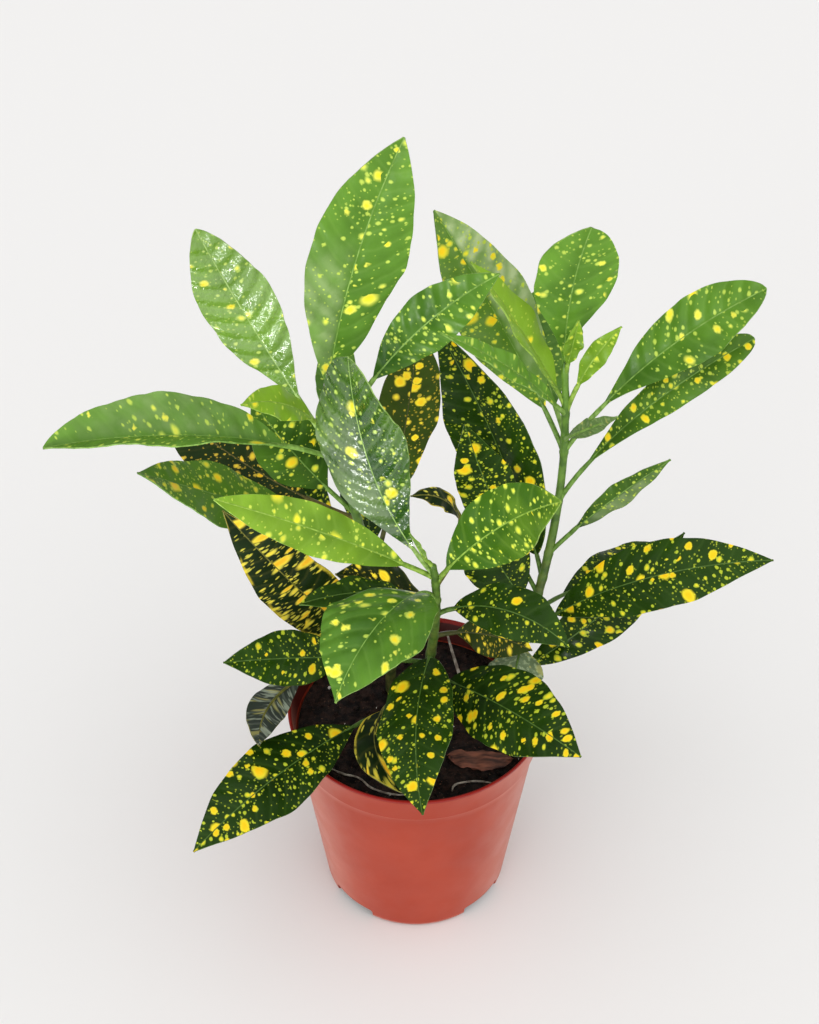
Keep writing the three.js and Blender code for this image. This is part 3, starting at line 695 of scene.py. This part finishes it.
# %% The blank
ROWS_ALONG = 72
ROWS_ACROSS = 20
EVEN_PART, BUNCHED_PART = 0.65, 0.35

bpy.ops.mesh.primitive_grid_add(x_subdivisions=ROWS_ALONG, y_subdivisions=ROWS_ACROSS, size=1)
blank = bpy.context.object
blank.name = "leaf_blank"
corners = np.empty(len(blank.data.vertices) * 3)
blank.data.vertices.foreach_get("co", corners)
corners = corners.reshape(-1, 3)
even = corners[:, 0] + 0.5
SHARES = EVEN_PART * even + BUNCHED_PART * (0.5 - 0.5 * np.cos(math.pi * even))
ACROSS = corners[:, 1] * 2
FACE_CORNERS = np.empty(len(blank.data.loops), int)
blank.data.loops.foreach_get("vertex_index", FACE_CORNERS)
HALF = np.repeat(np.sign(ACROSS[FACE_CORNERS].reshape(-1, 4).mean(axis=1)), 4)
print("blank:", len(corners), "corners")


# %% A leaf's line from its stem to its tip
def direction(leaf, share):
    """Which way the midrib runs at a share of stalk and blade together."""
    heading = math.radians(leaf["heading"] + leaf["swing"] * share)
    rise = math.radians(leaf["rise"] - leaf["sag"] * share)
    return Vector((math.cos(rise) * math.cos(heading), math.cos(rise) * math.sin(heading), math.sin(rise)))


LINE_STEPS = 48


def midline(leaf):
    """Points along the stalk and the blade, from the stem to the tip."""
    step = (leaf["petiole"] + leaf["length"]) * MM / LINE_STEPS
    points = [stem_point(leaf["stem"], leaf["at"])]
    for index in range(LINE_STEPS):
        points.append(points[-1] + direction(leaf, (index + 0.5) / LINE_STEPS) * step)
    return points


def leaf_frame(leaf, line, share):
    """Centre, sideways and upward directions at a share of the line."""
    place = share * (len(line) - 1)
    index = min(int(place), len(line) - 2)
    centre = line[index].lerp(line[index + 1], place - index)
    along = direction(leaf, share)
    heading = math.radians(leaf["heading"] + leaf["swing"] * share)
    turn = Quaternion(along, math.radians(leaf["roll"]))
    side = turn @ Vector((-math.sin(heading), math.cos(heading), 0))
    return centre, side, along.cross(side)


# %% Outline and cross-section of a blade
TIP_HALF_WIDTH = 0.35


def half_width(leaf, shares):
    """Half the blade's width at shares of its length, in millimetres, and as a share of the widest."""
    stretch = math.log(0.5) / math.log(leaf["widest"])
    swell = np.maximum(np.sin(math.pi * shares**stretch), 0)
    swell = swell ** np.where(shares < leaf["widest"], leaf["heel"], leaf["point"])
    return np.maximum(swell * leaf["width"] / 2, TIP_HALF_WIDTH), swell


def unevenness(leaf, shares, across):
    """How far a margin strays from its smooth outline, as a share of the half width."""
    own = leaf["length"] * 0.7 + np.sign(across) * 1.9
    slow = 0.02 * np.sin(2 * math.pi * 2.9 * shares + own)
    return slow + 0.01 * np.sin(2 * math.pi * 6.7 * shares + 2.3 * own)


def carry(leaf, line, shares, across):
    """The place in metres of every corner of the flat blank, and its flat distances in millimetres."""
    half, swell = half_width(leaf, shares)
    out_flat = np.abs(across) * half * (1 + unevenness(leaf, shares, across))
    fold = math.radians(leaf["fold"])
    curl = math.radians(leaf["curl"]) / (leaf["width"] / 2)
    angle = fold - curl * out_flat
    out = (math.sin(fold) - np.sin(angle)) / curl
    height = (np.cos(angle) - math.cos(fold)) / curl
    phase = 2 * math.pi * (leaf["waves"] * shares + 0.25 * np.sign(across))
    lift = leaf["wave"] * np.sin(phase) * across**2 * swell
    quilt = quilting(leaf, shares * leaf["length"], out_flat) * LOOKS[leaf["look"]]["quilt"] * swell
    places = np.empty((len(shares), 3))
    whole = leaf["petiole"] + leaf["length"]
    for share in np.unique(shares):
        centre, side, up = leaf_frame(leaf, line, (leaf["petiole"] + leaf["length"] * share) / whole)
        row = shares == share
        sideways = (np.sign(across[row]) * out[row] * MM)[:, None] * np.array(side)
        upward = ((height[row] + lift[row] + quilt[row]) * MM)[:, None] * np.array(up)
        places[row] = np.array(centre) + sideways + upward
    return places, shares * leaf["length"], np.sign(across) * out_flat


def quilting(leaf, along, out):
    """How far the blade swells between two side veins, in millimetres."""
    slant = VEIN_SLANT + VEIN_BEND * out
    pairs = (along - out * slant) / VEIN_SPACING
    middle = np.abs(pairs % 1 - 0.5) * 2
    uneven = 0.72 + 0.28 * np.sin(along * 0.23 + out * 0.37 + leaf["length"])
    return SWELLING * uneven * (1 - middle**2) * np.minimum(out / 3.5, 1)


# %% UV maps of a leaf
def write_map(mesh, name, first, second):
    """Writes one UV map from two numbers for each corner of each face."""
    layer = mesh.uv_layers.new(name=name)
    layer.uv.foreach_set("vector", np.stack([first, second], 1).astype(np.float32).ravel())


def along_veins(leaf, along, out):
    """Turns distances along and out from the midrib into distances along and across the side veins."""
    slant = math.radians(leaf["slant"])
    outward = out * math.sin(slant) + along * math.cos(slant)
    upward = along * math.sin(slant) - out * math.cos(slant)
    return outward, upward


def speckle_place(leaf, number, along, out):
    """Where the spots are looked up: stretched along the side veins, and elsewhere for each half."""
    outward, upward = along_veins(leaf, along, out)
    across = outward / leaf["stretch"] / MAP_UNIT + number * 1.7 + HALF * 0.42
    return across, upward / MAP_UNIT + number * 0.9


# %% What a leaf carries for its finish
def carry_number(mesh, name, values):
    """Gives every corner of the blade a number that its finish reads."""
    made = mesh.attributes.new(name, "FLOAT", "POINT")
    made.data.foreach_set("value", values.astype(np.float32))


def tone_of(leaf):
    """Darker towards the stalk and the midrib, lighter towards the tip and the margin."""
    return leaf["tone"] + 0.3 * (SHARES - 0.55) + 0.12 * (np.abs(ACROSS) - 0.5)


def wax_of(leaf):
    """How strongly a pale sheen is painted on the blade: a patch is a side, where it starts and ends along,
    and its amount.
    """
    wax = np.zeros(len(SHARES))
    for side, low, high, amount in leaf["wax"]:
        middle, reach = (low + high) / 2, (high - low) / 2
        fade = np.clip(1.4 * (1 - np.abs(SHARES - middle) / reach), 0, 1)
        wax = np.maximum(wax, amount * fade * np.clip(side * ACROSS * 6, 0, 1))
    return wax


def blots_of(leaf, along, out):
    """How far each corner is from the nearest large spot, where 1 is that spot's edge."""
    nearest = np.full(len(along), 9.0)
    for share, aside, radius in leaf["blots"]:
        side = math.copysign(1, aside)
        outward, upward = along_veins(leaf, along - share * leaf["length"], side * out - abs(aside))
        long = leaf["stretch"] ** 0.5
        nearest = np.minimum(nearest, np.hypot(outward / long, upward * long) / radius)
    return nearest


# %% Rods from curves
def rod_from(curve, radius, fineness, finish):
    """Turns the selected curve into a smooth mesh rod with closed ends."""
    set_up(curve.data, dimensions="3D", bevel_depth=radius, bevel_resolution=fineness, use_fill_caps=True)
    bpy.ops.object.convert(target="MESH")
    bpy.ops.object.shade_smooth()
    wear(bpy.context.object, finish)
    return bpy.context.object


def tapered_rod(places, radii, fineness, finish):
    """A rod through places in metres, with a radius in millimetres at each of them."""
    deselect()
    bpy.ops.curve.primitive_nurbs_path_add()
    curve = bpy.context.object
    curve.data.splines.clear()
    spline = curve.data.splines.new("POLY")
    spline.points.add(len(places) - 1)
    for point, place, radius in zip(spline.points, places, radii):
        point.co = (*place, 1)
        point.radius = radius
    return rod_from(curve, MM, fineness, finish)


# %% Stalk and midrib
RIB_STEPS = 27
RIB_END = 0.95
STALK_RADIUS, MIDRIB_RADIUS = 1.1, 1.0
RIB_ABOVE_BLADE = 0.13


def rib_tube(leaf, line):
    """The stalk, which runs on under the blade as the midrib, as a tapered tube."""
    whole = leaf["petiole"] + leaf["length"]
    base = leaf["petiole"] / whole
    places, radii = [], []
    for index in range(RIB_STEPS + 1):
        share = index / RIB_STEPS * (base + (1 - base) * RIB_END)
        blade_share = (share - base) / (1 - base)
        thin = STALK_RADIUS if blade_share < 0 else MIDRIB_RADIUS - 0.75 * blade_share**0.7
        swollen = 1 + 0.35 * math.exp(-share * whole / 2.5)
        thick = thin * swollen * min(1, 0.6 + whole / 150)
        sunk = min(max((blade_share + 0.05) / 0.12, 0), 1) * (thick - RIB_ABOVE_BLADE)
        centre, _, up = leaf_frame(leaf, line, share)
        places.append(centre - up * sunk * MM)
        radii.append(thick)
    return tapered_rod(places, radii, 2, blade_finishes[leaf["look"]][2])


# %% One whole leaf
BLADE_THICKNESS = 0.55 * MM
SLOTS = {"lime": "leaf_lime", "green": "leaf_green", "glossy": "leaf_green"}


def apply_all(piece):
    """Applies the modifiers of a piece in their order."""
    select(piece)
    for modifier in list(piece.modifiers):
        bpy.ops.object.modifier_apply(modifier=modifier.name)


def settle(piece, name, slot, *nodes):
    """Names a finished piece, lets it ride on the plant and stand for its CAD nodes."""
    piece.name = name
    piece.data.name = name
    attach(piece, BODY)
    if nodes:
        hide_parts(*nodes)


def grow_leaf(number, leaf):
    """Makes one leaf from the blank."""
    line = midline(leaf)
    blade = blank.copy()
    blade.data = mesh = blank.data.copy()
    scene.collection.objects.link(blade)
    places, along, out = carry(leaf, line, SHARES, ACROSS)
    mesh.vertices.foreach_set("co", places.ravel())
    mesh.uv_layers.remove(mesh.uv_layers[0])
    carry_number(mesh, "tone", tone_of(leaf))
    for amount in ("dust", "spots"):
        carry_number(mesh, amount, np.full(len(SHARES), leaf[amount]))
    carry_number(mesh, "wax", wax_of(leaf))
    carry_number(mesh, "blot", blots_of(leaf, along, out))
    along, out = along[FACE_CORNERS], out[FACE_CORNERS]
    write_map(mesh, "blade", along / MAP_UNIT, out / MAP_UNIT + 0.5)
    write_map(mesh, "speckle", *speckle_place(leaf, number, along, np.abs(out)))
    write_map(mesh, "shape", SHARES[FACE_CORNERS], ACROSS[FACE_CORNERS] / 2 + 0.5)
    mesh.update()
    for finish in blade_finishes[leaf["look"]]:
        mesh.materials.append(finish)
    set_up(blade.modifiers.new("thickness", "SOLIDIFY"), thickness=BLADE_THICKNESS, offset=-1,
           material_offset=1, material_offset_rim=2)
    apply_all(blade)
    smooth(50)
    select(blade, rib_tube(leaf, line))
    bpy.ops.object.join()
    settle(blade, f"{leaf['name']}_leaf", SLOTS.get(leaf["look"], "leaf_dark"), f"leaf_{leaf['name']}")
    return blade


# %% Grow all the leaves
BODY = next(iter(frame["bodies"]))
grown = [grow_leaf(number, leaf) for number, leaf in enumerate(LEAVES)]
bpy.data.objects.remove(blank)
triangles = sum(len(face.vertices) - 2 for piece in grown for face in piece.data.polygons)
print("leaves grown:", len(grown), "triangles:", triangles)

# %% [markdown]
# ## Stems
# A stem is a tapered green rod with a low ring at each leaf, the scar of the node. A curve with a
# radius at every point makes the taper and the rings together, and is then made a mesh.

# %% Stem finish
stem_finish, tree, shader = new_finish("green stem")
old_bark = mottled(tree, (260.0, 4.0, 0.4, 0.62), (46, 60, 22), (84, 86, 40))
green_bark = mottled(tree, (160.0, 3.0, 0.4, 0.6), (66, 104, 24), (96, 136, 40))
height = parts_of(tree, object_place(tree))[2]
bark = blend_colours(tree, between(tree, height, 0.1, 0.26), old_bark, green_bark)
paint(tree, shader, bark, patches(tree, 300.0, 2.0, 0.3, 0.7, 0.38, 0.6))
emboss(tree, shader, broad_noise(tree, 420.0, 4.0), 0.35, 0.4)
print("finish:", stem_finish.name)

# %% The three stems
STEM_STEPS = 119
RING_HEIGHT = 0.13
RING_REACH = 0.008


def grow_stem(name):
    """A tapered rod with a ring at every leaf."""
    foot, top = STEMS[name]["foot"], STEMS[name]["top"]
    nodes = [leaf["at"] for leaf in LEAVES if leaf["stem"] == name]
    places, radii = [], []
    for index in range(STEM_STEPS + 1):
        share = index / STEM_STEPS
        ring = sum(RING_HEIGHT * math.exp(-(((share - at) / RING_REACH) ** 2)) for at in nodes)
        end = min(1, 0.3 + (1 - share) / 0.02)
        places.append(stem_point(name, share))
        radii.append((foot + (top - foot) * share) * (1 + ring) * end)
    rod = tapered_rod(places, radii, 6, stem_finish)
    settle(rod, f"{name}_stem", "stem_green", f"stem_{name}")
    print("stem:", rod.name, len(rod.data.vertices), "corners")


for stem_name in STEMS:
    grow_stem(stem_name)

# %% [markdown]
# ## Pot
# The pot is a thin injection-moulded shell: a plain tapering wall, a slightly wider collar round
# the top, a rounded lip and four drain notches in the foot. It is drawn out of one cylinder, by
# extruding its cap up the outside, over the lip and down the inside, and the notches are cut. Two
# extra rings low on the wall keep the notches from bending the shading of the long faces above.

# %% Draw the pot
POT_SIDES = 128
OUTSIDE = [(43.2, 0), (44.4, 0.6), (45.3, 2), (45.5, 3.6), (46.18, 9), (56.4, 90.4), (56.9, 94.4),
           (57.2, 95.2), (58.2, 96.2), (59.7, 108.8)]
LIP = [(59.9, 109.4), (59.8, 109.8), (59.3, 110), (58.9, 109.9), (58.5, 109.4)]
INSIDE = [(56.7, 96.4), (55.2, 94.6), (43.6, 2.4), (42.4, 1.6)]
FIRST_STEP = 0.2


def select_corners(piece, wanted):
    """In edit mode, selects only the corners whose place passes the test."""
    bpy.ops.object.mode_set(mode="EDIT")
    bpy.ops.mesh.select_mode(type="VERT")
    bpy.ops.mesh.select_all(action="DESELECT")
    shape = bmesh.from_edit_mesh(piece.data)
    for corner in shape.verts:
        corner.select = wanted(corner.co)
    shape.select_flush(True)
    bmesh.update_edit_mesh(piece.data)


def upright_cylinder(sides, radius, low, high):
    """A cylinder on the pot's axis between two heights, all in millimetres."""
    deselect()
    bpy.ops.mesh.primitive_cylinder_add(vertices=sides, radius=radius * MM, depth=(high - low) * MM,
                                        location=(0, 0, (high + low) / 2 * MM))
    bpy.ops.object.transform_apply()
    return bpy.context.object


radius_now, height_now = OUTSIDE[0][0], FIRST_STEP
pot = upright_cylinder(POT_SIDES, radius_now, 0, FIRST_STEP)
select_corners(pot, lambda place: place.z > FIRST_STEP / 2 * MM)
for radius, height in OUTSIDE[1:] + LIP + INSIDE:
    rise = (0, 0, (height - height_now) * MM)
    bpy.ops.mesh.extrude_region_move(TRANSFORM_OT_translate={"value": rise})
    spread = radius / radius_now
    bpy.ops.transform.resize(value=(spread, spread, 1), center_override=(0, 0, 0))
    radius_now, height_now = radius, height
bpy.ops.object.mode_set(mode="OBJECT")
print("pot:", len(pot.data.polygons), "faces")

# %% Cut the drain notches
NOTCH_SIZE = (14, 24, 12)
NOTCH_REACH = 45
for bearing in (-43, 47, 137, 227):
    angle = math.radians(bearing)
    spot = (NOTCH_REACH * MM * math.cos(angle), NOTCH_REACH * MM * math.sin(angle), 0)
    deselect()
    bpy.ops.mesh.primitive_cube_add(size=1, location=spot, rotation=(0, 0, angle))
    cutter = bpy.context.object
    cutter.dimensions = [length * MM for length in NOTCH_SIZE]
    bpy.ops.object.transform_apply(location=False, rotation=False)
    set_up(cutter.modifiers.new("rounding", "BEVEL"), width=1.5 * MM, segments=3)
    apply_all(cutter)
    set_up(pot.modifiers.new("notch", "BOOLEAN"), operation="DIFFERENCE", object=cutter)
    apply_all(pot)
    bpy.data.objects.remove(cutter)
smooth(32)
print("pot with notches:", len(pot.data.polygons), "faces")

# %% [markdown]
# The plastic is satin and a little uneven: it has faint clouds, its lip is painted a deeper red as a
# painted shade, and a paler painted sheen is laid where the wall turns away from the eye. Inside,
# under the lip, the wall is painted nearly brown, a painted shade of the leaves above it. A point is
# on the inner wall when it lies nearer the axis than the sloping outside does at its height, so no
# second material is needed.

# %% Pot finish
OUTSIDE_SLOPE = 0.119
OUTSIDE_FOOT = 0.0462
LIP_FROM = 0.1078
WALL_SEEN_FROM = 0.0965

pot_finish, tree, shader = new_finish("satin red plastic")
plastic = mottled(tree, (28.0, 4.0, 0.35, 0.68), (158, 57, 37), (166, 62, 40))
across, along, height = parts_of(tree, object_place(tree))
squares = reckon(tree, "MULTIPLY_ADD", across, across, times(tree, along, along))
outside = reckon(tree, "MULTIPLY_ADD", height, OUTSIDE_SLOPE, OUTSIDE_FOOT)
depth = reckon(tree, "SUBTRACT", outside, reckon(tree, "SQRT", squares))
over_soil = between(tree, height, WALL_SEEN_FROM, WALL_SEEN_FROM + MM)
# The inner wall above the soil is painted nearly brown: a painted shade of the leaves above it.
inner_wall_painted_shade = times(tree, between(tree, depth, -0.2 * MM, 0.3 * MM), over_soil)
# Facing grows where the wall turns away from the eye; the paler colour mixed in there is a painted sheen.
facing = feed(tree, "ShaderNodeLayerWeight", {"Blend": 0.3})["Facing"]
colour = coated(
    tree, plastic,
    (inner_wall_painted_shade, shade(66, 15, 9)),
    (between(tree, facing, 0.36, 0.66, 0.0, 0.46), shade(222, 150, 132)),
    # The deeper red of the lip is a painted shade.
    (between(tree, height, LIP_FROM, LIP_FROM + 0.8 * MM), shade(140, 24, 14)),
)
paint(tree, shader, colour, patches(tree, 90.0, 5.0, 0.3, 0.7, 0.34, 0.46), 0.2)
emboss(tree, shader, broad_noise(tree, 500.0, 3.0), 0.12, 0.2)
wear(pot, pot_finish)
settle(pot, "nursery_pot", "pot_plastic", "pot")
print("finish:", pot_finish.name)

# %% [markdown]
# ## Soil
# The peat fills the pot to 12 mm under the lip. Its body is a cylinder whose top is inset in
# rings, so that the surface has enough corners, and three displacements make lumps and crumbs.

# %% Body of the soil
SOIL_SIDES = 160
SOIL_EDGE = 55.5
SOIL_FOOT_EDGE = 43.3
SOIL_TOP = 97.6
SOIL_MIDDLE = 50
SOIL_FOOT = 2.0
CROWN = 1.6
RINGS = 44
LUMPS = [(11, 3.2), (3.5, 2.2), (1.4, 1.0)]

soil = upright_cylinder(SOIL_SIDES, SOIL_EDGE, SOIL_FOOT, SOIL_TOP)
select_corners(soil, lambda place: place.z < SOIL_MIDDLE * MM)
narrow = SOIL_FOOT_EDGE / SOIL_EDGE
bpy.ops.transform.resize(value=(narrow, narrow, 1), center_override=(0, 0, 0))
select_corners(soil, lambda place: place.z > SOIL_MIDDLE * MM)
for ring in range(RINGS):
    bpy.ops.mesh.inset(thickness=SOIL_EDGE / (RINGS + 1) * MM)
bpy.ops.mesh.poke()
bpy.ops.object.mode_set(mode="OBJECT")

# %% Lumps and crumbs
top = soil.vertex_groups.new(name="top")
for corner in soil.data.vertices:
    reach = math.hypot(corner.co.x, corner.co.y) / (SOIL_EDGE * MM)
    if corner.co.z > SOIL_MIDDLE * MM:
        top.add([corner.index], min(1, (1 - reach) * 12), "REPLACE")
        corner.co.z += CROWN * MM * (1 - reach**2)
for size, strength in LUMPS:
    grains = bpy.data.textures.new(f"grains {size}", "CLOUDS")
    set_up(grains, noise_scale=size * MM, noise_depth=2)
    set_up(soil.modifiers.new("lumps", "DISPLACE"), texture=grains, texture_coords="LOCAL", direction="Z",
           vertex_group="top", strength=strength * MM, mid_level=0.5)
apply_all(soil)
smooth(60)
print("soil:", len(soil.data.polygons), "faces")

# %% Soil finish
soil_finish, tree, shader = new_finish("damp peat")
peat = mottled(tree, (300.0, 5.0, 0.38, 0.66), (13, 8, 7), (44, 29, 24))
fibrous = blend_colours(tree, patches(tree, 900.0, 2.0, 0.66, 0.74), peat, shade(96, 68, 52))
paint(tree, shader, fibrous, patches(tree, 200.0, 3.0, 0.35, 0.65, 0.5, 0.95), 0.15)
emboss(tree, shader, broad_noise(tree, 900.0, 5.0), 0.9, 0.8)
wear(soil, soil_finish)
settle(soil, "peat_soil", "peat", "soil")
print("finish:", soil_finish.name)

# %% [markdown]
# ## What lies on the soil
# A flake of bark, two dry rootlets, loose crumbs of peat and a few white grains of perlite lie on
# the surface. Each thing has to touch the lumpy soil, so a search tree of the soil's faces gives
# the height at any place. The crumbs are copies of one small ball that is turned and stretched.

# %% Height of the soil's surface
DROP_FROM = 0.2

soil_faces = BVHTree.FromObject(soil, bpy.context.evaluated_depsgraph_get())


def surface_height(x, y):
    """The height of the soil at a place, in metres."""
    return soil_faces.ray_cast(Vector((x, y, DROP_FROM)), Vector((0, 0, -1)))[0].z


# %% Bark flake
BARK_MIDDLE = (29.5, -26.5)
BARK_TURN = math.radians(-4)
BARK_HALF_LENGTH, BARK_HALF_WIDTH = 14.2, 5.2
BARK_HEIGHT, BARK_THICKNESS = 99.7, 1.6

deselect()
bpy.ops.mesh.primitive_grid_add(x_subdivisions=56, y_subdivisions=18, size=1)
flake = bpy.context.object
for corner in flake.data.vertices:
    along, aside = corner.co.x * 2, corner.co.y * 2
    chipped = 1 + 0.1 * math.sin(along * 7) + 0.05 * math.sin(along * 19)
    width = math.sqrt(max(1 - abs(along) ** 2.4, 0.02)) * chipped
    x = BARK_HALF_LENGTH * along + 0.8 * math.sin(aside * 4 + 1)
    y = BARK_HALF_WIDTH * aside * width + 1.6 * along**2
    turned_x = BARK_MIDDLE[0] + x * math.cos(BARK_TURN) - y * math.sin(BARK_TURN)
    turned_y = BARK_MIDDLE[1] + x * math.sin(BARK_TURN) + y * math.cos(BARK_TURN)
    crown = 1.1 * (1 - aside**2) * width + 0.35 * math.sin(along * 9 + aside * 2)
    corner.co = Vector((turned_x, turned_y, BARK_HEIGHT + 0.5 * aside + crown)) * MM
set_up(flake.modifiers.new("thickness", "SOLIDIFY"), thickness=BARK_THICKNESS * MM, offset=-1)
apply_all(flake)
smooth(40)

bark_finish, tree, shader = new_finish("reddish bark")
grain_place = feed(tree, "ShaderNodeMapping", {"Vector": object_place(tree), "Scale": (60, 380, 200)})[0]
grain = noise(tree, grain_place, 1.0, 4.0)
wood = blend_colours(tree, between(tree, grain, 0.35, 0.68), shade(62, 32, 23), shade(146, 86, 64))
dusty = blend_colours(tree, patches(tree, 140.0, 4.0, 0.48, 0.72, 0.0, 0.45), wood, shade(26, 17, 14))
paint(tree, shader, dusty, 0.7)
emboss(tree, shader, grain, 0.6, 0.4)
wear(flake, bark_finish)
settle(flake, "flake_of_bark", "bark", "bark_flake")
print("bark:", len(flake.data.polygons), "faces")

# %% Rootlets
ROOTLETS = {
    "rootlet_1": [(-40, -29), (-33, -34), (-26, -36), (-20, -42), (-11, -45), (-2, -45.5)],
    "rootlet_2": [(16, -44), (17, -41), (22, -38.5), (29, -38), (34, -38.5)],
}
ROOT_RADIUS, ROOT_LIFT = 0.5, 0.35

root_finish, tree, shader = new_finish("dry rootlet")
paint(tree, shader, mottled(tree, (350.0, 3.0, 0.35, 0.65), (112, 100, 90), (176, 166, 152)), 0.6)


def lay_string(name, points, radius, *nodes):
    """A thin string on a smooth curve through points in metres, thinner at its ends."""
    deselect()
    bpy.ops.curve.primitive_bezier_curve_add()
    string = bpy.context.object
    path = string.data.splines[0]
    path.bezier_points.add(len(points) - 2)
    for index, (knot, point) in enumerate(zip(path.bezier_points, points)):
        knot.co = point
        knot.handle_left_type = knot.handle_right_type = "AUTO"
        knot.radius = 0.5 if index in (0, len(points) - 1) else 1 + 0.15 * math.sin(index * 2.4)
    string.data.resolution_u = 8
    string = rod_from(string, radius * MM, 2, root_finish)
    settle(string, name, "rootlet", *nodes)
    print("string:", name, len(string.data.vertices), "corners")


for root_name, places in ROOTLETS.items():
    route = [(x * MM, y * MM, surface_height(x * MM, y * MM) + ROOT_LIFT * MM) for x, y in places]
    lay_string(f"dry_{root_name}", route, ROOT_RADIUS, root_name)

# %% A dried strip of an old stalk, which leans behind the front stem
STRIP = [(24, 14, 98.5), (21, 22, 106), (17, 32, 115), (15, 36, 121)]
lay_string("dried_stalk", [[value * MM for value in point] for point in STRIP], 0.8)

# %% Crumbs of peat and grains of perlite
CRUMBS = 170
GRAINS = 16
SCATTER_REACH = 53
LUMP_LIFT = 0.25


def scatter(name, count, smallest, largest, finish, slot):
    """Lays turned and stretched copies of one small ball on the soil and joins them."""
    bpy.ops.mesh.primitive_ico_sphere_add(subdivisions=1, radius=MM)
    ball = bpy.context.object
    copies = []
    for _ in range(count):
        reach = SCATTER_REACH * math.sqrt(chance_of.random())
        bearing = chance_of.uniform(0, 2 * math.pi)
        x, y = reach * MM * math.cos(bearing), reach * MM * math.sin(bearing)
        size = smallest + (largest - smallest) * chance_of.random() ** 2
        stretch = Vector([size * chance_of.uniform(0.6, 1.3) for _ in range(3)])
        turn = Quaternion([chance_of.gauss(0, 1) for _ in range(4)]).normalized()
        lump = ball.copy()
        lump.data = ball.data.copy()
        scene.collection.objects.link(lump)
        middle = Vector((x, y, surface_height(x, y) + LUMP_LIFT * size * MM))
        for corner in lump.data.vertices:
            corner.co = middle + turn @ (corner.co * stretch)
        copies.append(lump)
    select(*copies)
    bpy.ops.object.join()
    bpy.data.objects.remove(ball)
    heap = bpy.context.object
    wear(heap, finish)
    settle(heap, name, slot)
    print("scattered:", name, count)


chance_of = random.Random(7)
scatter("peat_crumbs", CRUMBS, 0.5, 1.7, soil_finish, "peat")

perlite_finish, tree, shader = new_finish("perlite")
paint(tree, shader, mottled(tree, (800.0, 3.0, 0.4, 0.65), (196, 190, 180), (232, 230, 224)), 0.9)
scatter("perlite_grains", GRAINS, 0.3, 0.8, perlite_finish, "rootlet")
